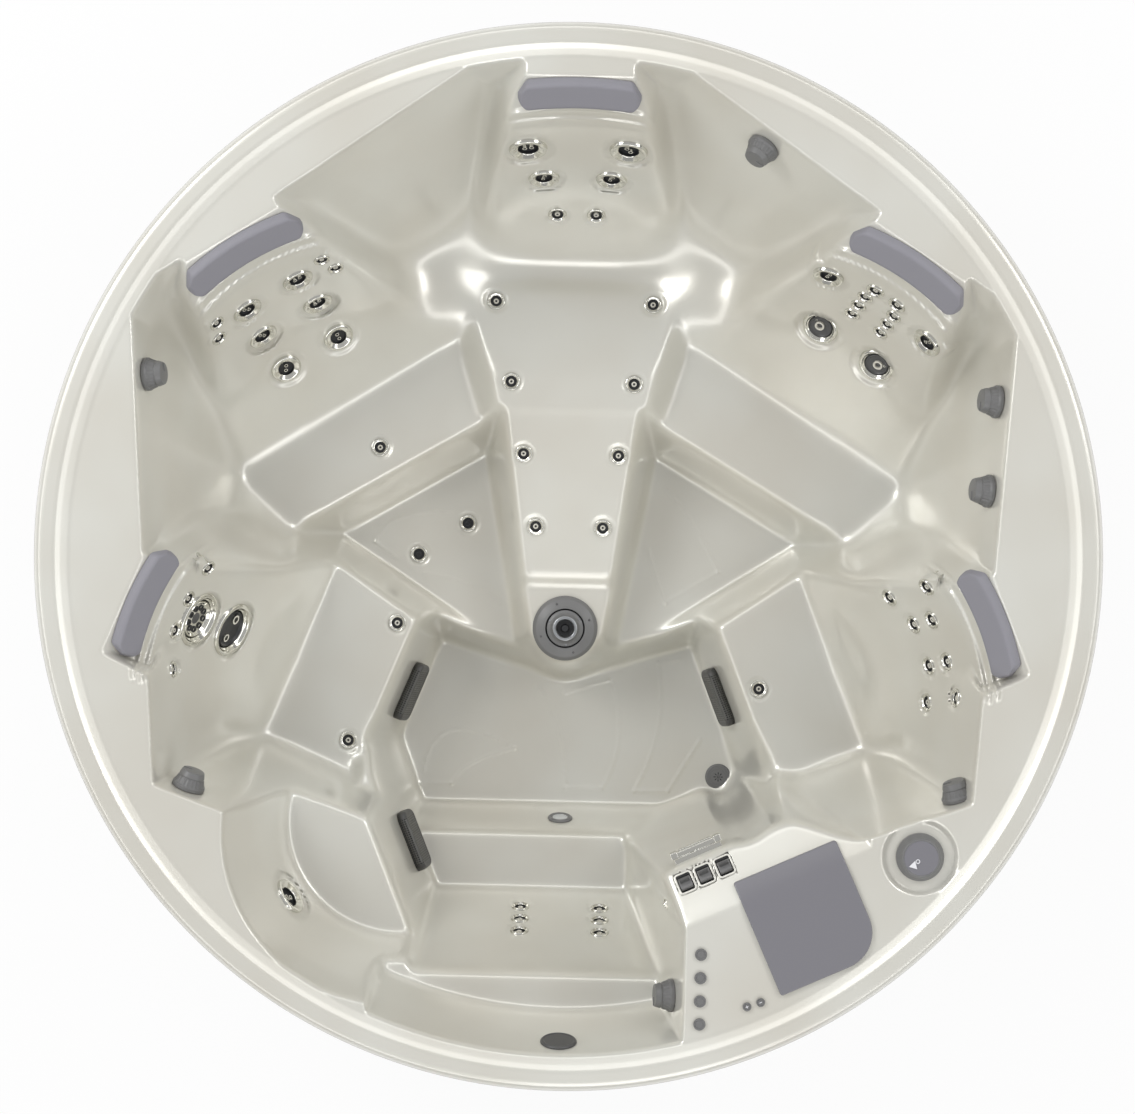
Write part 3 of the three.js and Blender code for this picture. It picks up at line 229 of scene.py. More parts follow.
# %% Finishes
pearl = finish("pearl acrylic", colour(214, 212, 203), 0.3, metallic=0.3, coat=0.85, coat_roughness=0.12)
vary_colour(pearl, colour(212, 209, 199), colour(219, 218, 210), 3.0)
grey_plastic = finish("grey plastic", colour(112, 112, 112), 0.38)
add_grain(grey_plastic, 900, 0.15)
lid_plastic = finish("lid plastic", colour(120, 119, 125), 0.3, coat=0.5, coat_roughness=0.18)
add_grain(lid_plastic, 1400, 0.1)
pillow_foam = finish("pillow foam", colour(138, 137, 144), 0.62)
add_grain(pillow_foam, 700, 0.25)
dark_plastic = finish("dark plastic", colour(78, 78, 78), 0.42)
add_grain(dark_plastic, 900, 0.2)
black_plastic = finish("black plastic", colour(40, 41, 43), 0.4)
add_grain(black_plastic, 600, 0.2)
pale_insert = finish("pale insert", colour(206, 203, 192), 0.25, coat=0.6)
add_grain(pale_insert, 400, 0.05)
chrome = finish("chrome", colour(222, 221, 214), 0.1, metallic=1.0)
steel = finish("steel tube", colour(178, 181, 184), 0.28, metallic=1.0)
add_grain(steel, 300, 0.1)
lens_plastic = finish("frosted lens", colour(196, 198, 198), 0.2, coat=0.4)
add_grain(lens_plastic, 500, 0.1)
zinc = finish("zinc coat", colour(185, 187, 189), 0.45, metallic=1.0)
vary_colour(zinc, colour(170, 173, 176), colour(200, 202, 203), 40)
filter_cloth = finish("filter cloth", colour(233, 233, 228), 0.9)
pointer_white = finish("pointer white", colour(226, 226, 230), 0.4)
add_grain(pointer_white, 500, 0.05)
print("finishes:", len(bpy.data.materials))

# %% [markdown]
# The cabinet is clad in synthetic boards with upright grooves. The grooves follow the angle round
# the tub, which an arctangent of the Object coordinates gives, so one pattern fits all panels.
# Each groove is pressed in by a bump, and its colour is darkened down to black in its middle:
# this is painted shade in the grooves.

# %% Cabinet boards
BOARDS = 88

board = finish("cabinet board", colour(96, 90, 83), 0.6)
place = add_node(board, "ShaderNodeTexCoord")
split = add_node(board, "ShaderNodeSeparateXYZ")
turn = add_node(board, "ShaderNodeMath")
turn.operation = "ARCTAN2"
count = add_node(board, "ShaderNodeMath")
count.operation = "MULTIPLY"
count.inputs[1].default_value = BOARDS / math.tau
saw = add_node(board, "ShaderNodeMath")
saw.operation = "PINGPONG"
saw.inputs[1].default_value = 0.5
groove = add_node(board, "ShaderNodeMapRange")
groove.inputs["From Min"].default_value = 0.0
groove.inputs["From Max"].default_value = 0.06
grain_map = add_node(board, "ShaderNodeMapping")
grain_map.inputs["Scale"].default_value = (60, 60, 3)
grain = add_node(board, "ShaderNodeTexNoise", Scale=1.0, Detail=4.0)
tones = add_node(board, "ShaderNodeValToRGB")
tones.color_ramp.elements[0].position = 0.3
tones.color_ramp.elements[0].color = colour(80, 74, 68)
tones.color_ramp.elements[1].position = 0.7
tones.color_ramp.elements[1].color = colour(108, 101, 94)
# Painted shade: the board's colour is multiplied down to black towards the middle of each groove.
shade = add_node(board, "ShaderNodeMix")
shade.data_type = "RGBA"
shade.blend_type = "MULTIPLY"
shade.inputs[0].default_value = 1.0
dent = add_node(board, "ShaderNodeBump", Strength=0.8, Distance=0.004)
link(board, place, "Object", split, "Vector")
link(board, split, "Y", turn, 0)
link(board, split, "X", turn, 1)
link(board, turn, 0, count, 0)
link(board, count, 0, saw, 0)
link(board, saw, 0, groove, "Value")
link(board, place, "Object", grain_map, "Vector")
link(board, grain_map, 0, grain, "Vector")
link(board, grain, "Fac", tones, "Fac")
board.node_tree.links.new(tones.outputs["Color"], shade.inputs[6])
board.node_tree.links.new(groove.outputs[0], shade.inputs[7])
board.node_tree.links.new(shade.outputs[2], shader_of(board).inputs["Base Color"])
link(board, groove, 0, dent, "Height")
link(board, dent, "Normal", shader_of(board), "Normal")
print("boards round the tub:", BOARDS)

# %% [markdown]
# The cloth of the filter cartridge is coarse, so its grain is larger and deeper than that of the
# plastics.

# %% Filter cloth
add_grain(filter_cloth, 260, 0.5, 0.002)
print("filter cloth roughened")

# %% [markdown]
# The ground is a wide pale sheet. To the camera and to reflections it is nearly all glow, so it
# blends with the white backdrop, and to all other light it is matt.

# %% Floor
FLOOR_HALF = 14
FLOOR_GLOW = 0.9

ground = bpy.data.meshes.new("ground")
floor_form = bmesh.new()
bmesh.ops.create_grid(floor_form, x_segments=1, y_segments=1, size=FLOOR_HALF)
floor_form.to_mesh(ground)
floor_form.free()
floor = bpy.data.objects.new("ground", ground)
bpy.context.collection.objects.link(floor)
pale = bpy.data.materials.new("pale ground")
pale.use_nodes = True
pale_nodes = pale.node_tree
pale_nodes.nodes.clear()
matt = pale_nodes.nodes.new("ShaderNodeBsdfDiffuse")
matt.inputs["Color"].default_value = (0.9, 0.9, 0.9, 1)
glow = pale_nodes.nodes.new("ShaderNodeEmission")
glow.inputs["Strength"].default_value = 1
ray = pale_nodes.nodes.new("ShaderNodeLightPath")
either_ray = pale_nodes.nodes.new("ShaderNodeMath")
either_ray.operation = "MAXIMUM"
share = pale_nodes.nodes.new("ShaderNodeMath")
share.operation = "MULTIPLY"
share.inputs[1].default_value = FLOOR_GLOW
mixed = pale_nodes.nodes.new("ShaderNodeMixShader")
out = pale_nodes.nodes.new("ShaderNodeOutputMaterial")
pale_nodes.links.new(ray.outputs["Is Camera Ray"], either_ray.inputs[0])
pale_nodes.links.new(ray.outputs["Is Glossy Ray"], either_ray.inputs[1])
pale_nodes.links.new(either_ray.outputs[0], share.inputs[0])
pale_nodes.links.new(share.outputs[0], mixed.inputs["Fac"])
pale_nodes.links.new(matt.outputs[0], mixed.inputs[1])
pale_nodes.links.new(glow.outputs[0], mixed.inputs[2])
pale_nodes.links.new(mixed.outputs[0], out.inputs["Surface"])
ground.materials.append(pale)
print("ground laid")

# %% [markdown]
# The shell is one sheet of acrylic drawn down over a mould. Every seat, well and step is a hollow
# bounded by flat or conical walls that lean back. A wall here is a plane: it faces a compass
# direction, stands at a reach along it at a level, and leans back from the vertical.
# The level of a plane at a place in plan is one line of arithmetic, so a whole map of levels
# can be worked out at once, with the highest wall in each hollow and the lowest in each rise.

# %% Walls and hollows
def wall(direction, reach, level, lean):
    heading = math.radians(direction)
    slope = math.radians(lean)
    normal = (math.cos(heading) * math.cos(slope), math.sin(heading) * math.cos(slope), -math.sin(slope))
    across = normal[0] * math.cos(heading) * reach + normal[1] * math.sin(heading) * reach
    return ("plane", normal, across + normal[2] * level)


def level_floor(level):
    return wall(0, 0, level, 90)


def cone(x, y, radius, level, lean):
    return ("cone", x, y, radius, level, math.tan(math.radians(lean)))


def levels(face, x, y):
    """The level of a wall or cone over places in plan"""
    if face[0] == "plane":
        normal, offset = face[1], face[2]
        return (offset - normal[0] * x - normal[1] * y) / normal[2]
    across = np.hypot(x - face[1], y - face[2])
    return face[4] + (across - face[3]) / face[5]


def mirror_face(face):
    if face[0] == "plane":
        normal = face[1]
        return ("plane", (-normal[0], normal[1], normal[2]), face[2])
    return ("cone", -face[1], *face[2:])


def mirror_all(faces):
    return [mirror_face(face) for face in faces]


def highest(faces, x, y):
    return np.maximum.reduce([levels(face, x, y) for face in faces])


def lowest(faces, x, y):
    return np.minimum.reduce([levels(face, x, y) for face in faces])


RIM_CONE = cone(0, 0, 0.9326 * RIM, DECK, 15)
BASIN_HALF = [
    wall(125, 0.867 * RIM, DECK, 22),
    wall(184, 0.7953 * RIM, DECK, 13),
    wall(250.5, 0.6754 * RIM, DECK, 10.8),
]
BASIN_SIDES = BASIN_HALF + mirror_all(BASIN_HALF)
print("basin walls:", len(BASIN_SIDES))

# %% [markdown]
# Each seat has a backrest that stands proud of the basin's wall. Its upper part is hollow, to
# hold the bather's shoulders, so it is one solid behind each of a fan of four planes. Its lower
# part leans further back.
# A seat's values are kept together, since its pan, backrest, jets and pillow all use them.
# A wall's reach and offset are distances from the middle of the tub, along and across its facing.

# %% Seats
NECK_HALF = 0.1452 * RIM
HEAD_HALF = 0.1024 * RIM
HEAD_FLARE = 31
PILLOW_LEAN = 45
PILLOW_SET = 0.07 * RIM
BED_ROOM = 0.012 * RIM
FAN_STEPS = (-15, -5, 5, 15)


def seat(facing, offset, neck, arc, upper, lower_reach, lower_level, lower, side):
    return {
        "facing": facing, "offset": offset * RIM, "neck": neck * RIM, "arc": arc * RIM, "upper": upper,
        "lower_reach": lower_reach * RIM, "lower_level": lower_level * HEIGHT, "lower": lower, "side": side,
    }


def mirror_seat(s):
    return {**s, "facing": 180 - s["facing"], "offset": -s["offset"]}


LOUNGE = seat(90, 0, 0.8311, 0.7, 21, 0.6868, 0.492, 40, 9)
LEFT_SEAT = seat(122.5, 0.2292, 0.7717, 0.455, 21, 0.615, 0.492, 45, 14)
LEFT_CORNER = seat(157.5, 0.4024, 0.6588, 0.455, 25, 0.49, 0.437, 42, 8)
RIGHT_SEAT = mirror_seat(LEFT_SEAT)
RIGHT_CORNER = mirror_seat(LEFT_CORNER)
SEATS = [LOUNGE, LEFT_SEAT, RIGHT_SEAT, LEFT_CORNER, RIGHT_CORNER]


def backrest(s):
    """The solids of a backrest: the fan of its upper part, and its lower part"""
    sides = []
    for turn_by in (90, -90):
        middle = math.copysign(1, turn_by) * s["offset"]
        sides.append(wall(s["facing"] + turn_by, middle + NECK_HALF, NECK, -s["side"]))
        sides.append(wall(s["facing"] + turn_by, middle + HEAD_HALF, DECK, -HEAD_FLARE))
    fan = []
    for step in FAN_STEPS:
        swing = math.radians(step)
        along = s["offset"] + s["arc"] * math.sin(swing)
        out_by = s["neck"] - s["arc"] * (1 - math.cos(swing))
        reach = out_by * math.cos(swing) + along * math.sin(swing)
        fan.append(wall(s["facing"] + step + 180, -reach, NECK, -s["upper"]))
    head = wall(s["facing"] + 180, -(s["neck"] + PILLOW_SET), DECK, -PILLOW_LEAN)
    low = wall(s["facing"] + 180, -s["lower_reach"], s["lower_level"], -s["lower"])
    return [[*sides, front, head] for front in fan] + [[*sides, low]]


def pan_back(s):
    return wall(s["facing"], s["lower_reach"], s["lower_level"], s["lower"])


def back_limit(s):
    return wall(s["facing"], s["neck"] - 0.027 * RIM, NECK, s["upper"])


def pillow_bed(s):
    sides = [
        wall(s["facing"] + turn_by, math.copysign(1, turn_by) * s["offset"] + HEAD_HALF + BED_ROOM, DECK, 2)
        for turn_by in (90, -90)
    ]
    return [
        wall(s["facing"], s["neck"] + PILLOW_SET, DECK, PILLOW_LEAN),
        wall(s["facing"] + 180, -s["neck"] + BED_ROOM * 2, DECK, 2),
        *sides,
    ]


print("seats:", len(SEATS))

# %% [markdown]
# The pans, the lounge's leg rest, the footwells, the entry steps and the high cool-down seat are
# further hollows. Those that come in pairs are written once and mirrored. The drain stands in a
# round pocket in the corner of the deep well.

# %% Hollows of the basin
LEFT_PAN = [
    wall(302, -0.49 * RIM, 0.348 * HEIGHT, 84.6),
    pan_back(LEFT_SEAT),
    back_limit(LEFT_SEAT),
    wall(12.7, -0.0822 * RIM, 0.421 * HEIGHT, 40),
    wall(12.7, -0.078 * RIM, 0.421 * HEIGHT, 2),
    wall(233, 0.2975 * RIM, 0.355 * HEIGHT, 45),
    wall(233, 0.36 * RIM, ARM, 2),
    wall(302.5, -0.3 * RIM, PAN, 2),
]
CORNER_PAN = [
    wall(337.5, -0.437 * RIM, 0.352 * HEIGHT, 87),
    pan_back(LEFT_CORNER),
    back_limit(LEFT_CORNER),
    wall(67.5, -0.184 * RIM, PAN, 45),
    wall(67.5, -0.13 * RIM, ARM, 2),
    wall(338, -0.22 * RIM, PAN, 2),
    wall(57, -0.267 * RIM, PAN, 2),
]
LOUNGE_FLANK = wall(192.7, 0.0822 * RIM, 0.421 * HEIGHT, 8)
LOUNGE_FLANKS = [LOUNGE_FLANK, mirror_face(LOUNGE_FLANK)]
HIP_TROUGH = [
    level_floor(0.363 * HEIGHT),
    pan_back(LOUNGE),
    back_limit(LOUNGE),
    *LOUNGE_FLANKS,
    wall(270, -0.547 * RIM, 0.3825 * HEIGHT, 45),
]
THIGHS = [
    wall(270, -0.5486 * RIM, 0.3825 * HEIGHT, 79.2),
    pan_back(LOUNGE),
    back_limit(LOUNGE),
    *LOUNGE_FLANKS,
    wall(270, -0.3193 * RIM, KNEE, 45),
]
LEG_FLANKS = [wall(180, 0.175 * RIM, KNEE, 2), wall(0, 0.175 * RIM, KNEE, 2)]
CALVES = [
    wall(90, 0.2957 * RIM, 0.4208 * HEIGHT, 78),
    wall(90, 0.2957 * RIM, 0.4208 * HEIGHT, 40),
    *LEG_FLANKS,
    wall(270, 0.0542 * RIM, 0.328 * HEIGHT, 45),
]
POD_X = -0.0035 * RIM
POD_Y = -0.1479 * RIM
POD_RISE = [wall(0, 0, POD, -90), cone(POD_X, POD_Y, 0.0735 * RIM, POD, -9)]
POD_FLAT = [level_floor(POD), wall(90, -0.0595 * RIM, POD, 45), wall(270, 0.28 * RIM, POD, 2), *LEG_FLANKS]
LEFT_WELL = [
    level_floor(SIDE_WELL),
    wall(120.5, 0.3219 * RIM, PAN, 18),
    wall(237, 0.2791 * RIM, PAN, 18.8),
    wall(10.2, -0.0945 * RIM, 0.377 * HEIGHT, 13.5),
    wall(253, 0.28 * RIM, SIDE_WELL, 20),
]
COOL_INNER = wall(202.3, 0.5503 * RIM, COOL_PAN, 9.5)
WELL_END = wall(289.5, 0.6754 * RIM, DECK, 2)
DEEP_WELLS = [
    [
        level_floor(WELL),
        wall(north, -0.2152 * RIM, SIDE_WELL, 19),
        wall(158.2, 0.2292 * RIM, PAN, 11),
        wall(21.8, 0.2292 * RIM, PAN, 11),
        wall(270, 0.5713 * RIM, TREAD, 16),
        wall(211.8, 0.5477 * RIM, WELL, 12),
        COOL_INNER,
        WELL_END,
    ]
    for north in (73, 107)
]
ENTRY_END = wall(0, 0.27 * RIM, DECK, 2)
TREAD_HOLLOW = [
    level_floor(TREAD),
    COOL_INNER,
    wall(270, 0.8101 * RIM, LEDGE, 17.5),
    ENTRY_END,
    wall(90, -0.46 * RIM, TREAD, 2),
]
LEDGE_HOLLOW = [
    level_floor(LEDGE),
    ENTRY_END,
    wall(90, -0.79 * RIM, LEDGE, 2),
    wall(180, 0.35 * RIM, LEDGE, 2),
]
DRAIN_X = 0.329
DRAIN_Y = -0.4602
DRAIN_POCKET = [level_floor(WELL), cone(DRAIN_X * RIM, DRAIN_Y * RIM, 0.052 * RIM, WELL, 0.5)]
COOL_SEAT = [level_floor(COOL_PAN), cone(-0.3193 * RIM, -0.5293 * RIM, 0.2275 * RIM, COOL_PAN, 16.8)]
IN_BASIN = [LEFT_PAN, CORNER_PAN, HIP_TROUGH, THIGHS, CALVES, POD_FLAT, LEFT_WELL]
MIRRORED = [mirror_all(LEFT_PAN), mirror_all(CORNER_PAN), mirror_all(LEFT_WELL)]
OPEN_HOLLOWS = [*DEEP_WELLS, TREAD_HOLLOW, LEDGE_HOLLOW, COOL_SEAT]
print("hollows:", len(IN_BASIN) + len(MIRRORED) + len(OPEN_HOLLOWS) + 1)

# %% [markdown]
# The control island rises between the entry step and the right corner seat. Its top is level with
# the deck and then slopes down towards the middle, and a shelf beside the slope carries the levers.
# The diverter's dial has a round tray of its own in the deck.

# %% Control island
ISLAND_FACING = 294.4
ISLAND_LEAN = 63
ISLAND_BEND = 0.727 * RIM
ISLAND_SLOPE = wall(ISLAND_FACING - 180, -ISLAND_BEND, DECK, -ISLAND_LEAN)
ISLAND = [
    ISLAND_SLOPE,
    wall(ISLAND_FACING - 180, -0.6115 * RIM, 0.907 * HEIGHT, -3),
    wall(180, -0.2336 * RIM, DECK, -9),
    wall(73.5, -0.3307 * RIM, 0.874 * HEIGHT, -3),
]
ISLAND_SLOPE_CUT = [
    wall(ISLAND_FACING, ISLAND_BEND, DECK, ISLAND_LEAN),
    wall(ISLAND_FACING - 180, -0.55 * RIM, DECK, 2),
    wall(ISLAND_FACING + 90, 0.3115 * RIM, DECK, 2),
    wall(ISLAND_FACING - 90, 0.09 * RIM, DECK, 2),
]
LEVER_SHELF = [
    *ISLAND[:2],
    wall(ISLAND_FACING - 90, 0.077 * RIM, 0.94 * HEIGHT, -4),
    wall(ISLAND_FACING, ISLAND_BEND, DECK, -2),
    wall(ISLAND_FACING + 90, 0.1 * RIM, DECK, -2),
]
TRAY_X = 0.672 * RIM
TRAY_Y = -0.5468 * RIM
TRAY_HOLLOW = [level_floor(TRAY), cone(TRAY_X, TRAY_Y, 0.071 * RIM, DECK, 30)]


def surface(x, y):
    """The shell's upper surface below the rim's roll, with its edges sharp"""
    carved = np.minimum(DECK, highest([level_floor(ARM), *BASIN_SIDES], x, y))
    for s in SEATS:
        for body in backrest(s):
            carved = np.maximum(carved, np.minimum(DECK, lowest(body, x, y)))
    for s in SEATS:
        carved = np.minimum(carved, highest(pillow_bed(s), x, y))
    for hollow in IN_BASIN + MIRRORED:
        carved = np.minimum(carved, highest([*hollow, *BASIN_SIDES], x, y))
    for hollow in (*OPEN_HOLLOWS, ISLAND_SLOPE_CUT):
        carved = np.minimum(carved, highest(hollow, x, y))
    carved = np.maximum(carved, levels(RIM_CONE, x, y))
    for body in (POD_RISE, ISLAND, LEVER_SHELF):
        carved = np.maximum(carved, lowest(body, x, y))
    carved = np.minimum(carved, highest(DRAIN_POCKET, x, y))
    return np.minimum(np.minimum(carved, DECK), highest(TRAY_HOLLOW, x, y))


print("well floor at", round(float(surface(np.array(0.0), np.array(-0.45))), 4))

# %% [markdown]
# A heated sheet can't follow a sharp mould edge: it bridges every corner with a soft fillet.
# Smoothing the map of levels does the same. The deck's edges stay crisp, because there the sheet
# is stretched least, the floors have rounder edges, and the backs behind the seats are rounded
# most. So smoothed maps are mixed, by level and by how far out a place lies, and a fourth one is
# used in the valley at either side of the lounge, where its back runs into the seats beside it.

# %% Map of levels
CELL = 0.003
CELLS = int(RIM / CELL) + 4
CRISP_SPREAD = 0.0035
DECK_SPREAD = 0.012
SOFT_SPREAD = 0.0105
BROAD_SPREAD = 0.021
VALLEY_SPREAD = 0.04
VALLEY_X = 0.255 * RIM
VALLEY_Y = 0.58 * RIM
VALLEY_REACH = 0.13 * RIM
ticks = np.arange(-CELLS, CELLS + 1) * CELL
map_x, map_y = np.meshgrid(ticks, ticks, indexing="ij")


def smoothed(field, spread):
    """The field after a Gaussian smoothing, by one axis and then the other"""
    reach = int(math.ceil(spread * 3 / CELL))
    weights = np.exp(-0.5 * (np.arange(-reach, reach + 1) * CELL / spread) ** 2)
    weights /= weights.sum()
    for axis in (0, 1):
        padded = np.pad(field, [(reach, reach) if a == axis else (0, 0) for a in (0, 1)], mode="edge")
        total = np.zeros_like(field)
        for index, weight in enumerate(weights):
            window = [slice(None), slice(None)]
            window[axis] = slice(index, index + field.shape[axis])
            total += weight * padded[tuple(window)]
        field = total
    return field


sharp = surface(map_x, map_y)
crisp = smoothed(sharp, CRISP_SPREAD)
soft = smoothed(sharp, SOFT_SPREAD)
broad = smoothed(sharp, BROAD_SPREAD)
near_backs = np.clip((np.hypot(map_x, map_y) - 0.5 * RIM) / (0.1 * RIM), 0, 1)
near_backs *= np.clip((map_y + 0.5 * RIM) / (0.1 * RIM), 0, 1)
near_deck = np.clip((smoothed(sharp, DECK_SPREAD) - 0.86 * HEIGHT) / (0.1 * HEIGHT), 0, 1)
in_valley = np.exp(-(np.hypot(np.abs(map_x) - VALLEY_X, map_y - VALLEY_Y) / VALLEY_REACH) ** 4)
soft += (broad - soft) * near_backs
soft += (smoothed(sharp, VALLEY_SPREAD) - soft) * in_valley
moulded = soft + (crisp - soft) * near_deck
print("map of", map_x.shape, "from", round(float(moulded.min()), 3), "to", round(float(moulded.max()), 3))

# %% [markdown]
# Fittings stand on the shell at places found on its sharp surface: one finder looks straight down,
# the other walks outwards along a direction until the surface rises to a level.

# %% Places on the shell
STEP_ASIDE = 0.0005


def place_at(x, y):
    """A point on the shell and the direction that the shell faces there"""
    east = float(surface(np.array(x + STEP_ASIDE), np.array(y)))
    west = float(surface(np.array(x - STEP_ASIDE), np.array(y)))
    north = float(surface(np.array(x), np.array(y + STEP_ASIDE)))
    south = float(surface(np.array(x), np.array(y - STEP_ASIDE)))
    facing = Vector((west - east, south - north, 2 * STEP_ASIDE)).normalized()
    return Vector((x, y, float(surface(np.array(x), np.array(y))))), facing


def place_on_wall(direction, along, level, near, far):
    """The first place on the way outwards where the shell reaches a level"""
    heading = math.radians(direction)
    cos_h = math.cos(heading)
    sin_h = math.sin(heading)
    reaches = np.linspace(near, far, 4000)
    heights = surface(cos_h * reaches - sin_h * along, sin_h * reaches + cos_h * along)
    reached = np.flatnonzero(heights >= level)
    reach = float(reaches[reached[0]] if len(reached) else far)
    return place_at(cos_h * reach - sin_h * along, sin_h * reach + cos_h * along)


def on_seat(s, aside, level):
    near = s["neck"] - 0.3 * RIM
    far = s["neck"] + 0.01 * RIM
    return place_on_wall(s["facing"], s["offset"] + aside * RIM, level * HEIGHT, near, far)


def on_pan(x, y):
    return place_at(x * RIM, y * RIM)


def on_wall(direction, along, level, near, far):
    return place_on_wall(direction, along * RIM, level * HEIGHT, near * RIM, far * RIM)


# %% [markdown]
# The jets come in five sizes, and "whirl" is a large one whose face turns. Each bank is a list of
# places with the size that stands there.

# %% Jets and their places
JET_FACE = {
    "tiny": 0.0165 * RIM, "small": 0.019 * RIM, "medium": 0.0315 * RIM,
    "large": 0.038 * RIM, "whirl": 0.038 * RIM, "grand": 0.0585 * RIM,
}
JET_DEPTH = {"tiny": 0.04, "small": 0.042, "medium": 0.048, "large": 0.052, "whirl": 0.052, "grand": 0.06}
LEG_SPOTS = [(0.1601, 0.5179), (0.1247, 0.3526), (0.0967, 0.2069), (0.0687, 0.0595)]
STEP_LEVELS = (0.3716, 0.4404, 0.5093)
COLUMN_LEVELS = (0.6721, 0.7213, 0.7705)
BOTH = (-1, 1)


def seat_run(s, stops):
    """Jets on a backrest, from (aside, level, size)"""
    return [(on_seat(s, aside, level), size) for aside, level, size in stops]


def bend(x, y, z):
    """A turn of the hose behind the shell, where no jet stands"""
    return (Vector((x * RIM, y * RIM, z * HEIGHT)), None)


JET_BANKS = {
    "lounge_back_jets": seat_run(LOUNGE, [
        (-0.039, 0.49, "small"), (-0.0665, 0.615, "medium"), (-0.097, 0.755, "large"),
        (0.097, 0.755, "large"), (0.0665, 0.615, "medium"), (0.039, 0.49, "small"),
    ]),
    "lounge_leg_jets": [(on_pan(-x, y), "small") for x, y in LEG_SPOTS]
    + [(on_pan(x, y), "small") for x, y in reversed(LEG_SPOTS)],
    "left_seat_jets": [(on_pan(-0.3911, 0.2143), "small"), bend(-0.4943, 0.3491, 0.31)]
    + seat_run(LEFT_SEAT, [
        (0.0612, 0.492, "medium"), (0.063, 0.612, "medium"), (0.1312, 0.754, "tiny"),
        (0.1172, 0.8087, "tiny"), (0.0569, 0.754, "medium"), (-0.0569, 0.754, "medium"),
        (-0.1172, 0.8087, "tiny"), (-0.1312, 0.754, "tiny"), (-0.063, 0.612, "medium"),
        (-0.0612, 0.492, "medium"),
    ]),
    "right_seat_jets": seat_run(RIGHT_SEAT, [
        (-0.0674, 0.5464, "whirl"),
        *[(-0.0332, level, "tiny") for level in COLUMN_LEVELS],
        (-0.1137, 0.7869, "medium"), (-0.0245, 0.818, "small"),
        (0.0245, 0.818, "small"), (0.1137, 0.7869, "medium"),
        *[(0.0332, level, "tiny") for level in reversed(COLUMN_LEVELS)],
        (0.0674, 0.5464, "whirl"),
    ]),
    "left_corner_jets": seat_run(LEFT_CORNER, [
        (-0.1015, 0.8197, "tiny"), (-0.0332, 0.8197, "tiny"), (0.0332, 0.8197, "tiny"),
        (0.1015, 0.8197, "tiny"), (0, 0.7432, "grand"), (0, 0.5956, "grand"),
    ]) + [bend(-0.6063, -0.1843, 0.3), (on_pan(-0.4418, -0.3867), "small")],
    "right_corner_jets": seat_run(RIGHT_CORNER, [
        (0.0997, 0.6546, "small"), (0.035, 0.6842, "small"), (0.035, 0.7617, "small"),
        (0.0997, 0.812, "small"),
    ]) + [bend(0.8042, -0.1124, 0.79)] + seat_run(RIGHT_CORNER, [
        (-0.1181, 0.812, "small"), (-0.0507, 0.7617, "small"),
        (-0.0507, 0.6842, "small"), (-0.1181, 0.6546, "small"),
    ]),
    "entry_jets": [(on_wall(270, 0.0805, level, 0.6, 0.95), "small") for level in STEP_LEVELS]
    + [(on_wall(270, -0.0805, level, 0.6, 0.95), "small") for level in reversed(STEP_LEVELS)]
    + [bend(-0.49, -0.7612, 0.5683), (on_pan(-0.5249, -0.6737), "large")],
    "foot_jets": [(on_pan(-0.2117, 0.0647), "small"), (on_pan(-0.3132, -0.0026), "small")],
}
EXTRA_JETS = [(on_pan(0.3963, -0.2616), "small"), (on_pan(-0.3473, -0.1444), "small")]
ALL_JETS = [stop for bank in JET_BANKS.values() for stop in bank if stop[1]] + EXTRA_JETS
print("jets:", len(ALL_JETS))

# %% [markdown]
# A jet sits in a shallow dish that is pressed into the sheet, and each backrest has two soft ribs
# under its pillow. Both are small enough to be added to the map of levels itself.

# %% Dishes and ribs
DISH_REACH = {"tiny": 1.5, "small": 1.5, "medium": 1.5, "large": 1.5, "whirl": 1.5, "grand": 1.15}
DISH_SHARE = 0.12
DISH_EDGE = 0.32
DISH_LIMIT = 1.25
STEEPEST = 0.15
RIB_RISE = 0.011
RIB_SPREAD = 0.006
RIB_SETS = (0.017, -0.002)
RIB_HALF = 0.135 * RIM


def press_dish(field, point, facing, radius, depth):
    """Presses a flat round seat with a soft edge into the sheet near a point"""
    reach = int(radius * 2.2 / CELL)
    i = int(round(point.x / CELL)) + CELLS
    j = int(round(point.y / CELL)) + CELLS
    patch = (slice(i - reach, i + reach + 1), slice(j - reach, j + reach + 1))
    away = [map_x[patch] - point.x, map_y[patch] - point.y, field[patch] - point.z]
    along = sum(a * n for a, n in zip(away, facing))
    across = np.sqrt(np.maximum(0, sum(a * a for a in away) - along ** 2))
    shape = np.clip((radius - across) / (radius * DISH_EDGE), 0, 1)
    shape = shape * shape * (3 - 2 * shape) * np.clip(2 - 2 * np.abs(along) / (radius * DISH_LIMIT), 0, 1)
    seat_level = point.z - (away[0] * facing[0] + away[1] * facing[1] + depth) / max(facing[2], STEEPEST)
    field[patch] += (seat_level - field[patch]) * shape


def ribbed(field, s):
    """Two soft ribs that follow the curve of a seat's neck"""
    heading = math.radians(s["facing"])
    reach = map_x * math.cos(heading) + map_y * math.sin(heading)
    along = -map_x * math.sin(heading) + map_y * math.cos(heading) - s["offset"]
    sag = np.minimum(along ** 2 / (2 * s["arc"]), 0.1)
    ends = 1 / (1 + np.exp((np.abs(along) - RIB_HALF) / 0.004))
    rise = sum(np.exp(-((reach - s["neck"] + sag - by) / RIB_SPREAD) ** 2) for by in RIB_SETS)
    return field + RIB_RISE * rise * ends


for s in SEATS:
    moulded = ribbed(moulded, s)
for (point, facing), size in ALL_JETS:
    radius = JET_FACE[size] * DISH_REACH[size]
    press_dish(moulded, point, facing, radius, JET_FACE[size] * DISH_SHARE)
DRAIN_PLACE = on_pan(DRAIN_X, DRAIN_Y)
print("lowest level after pressing", round(float(moulded.min()), 4))
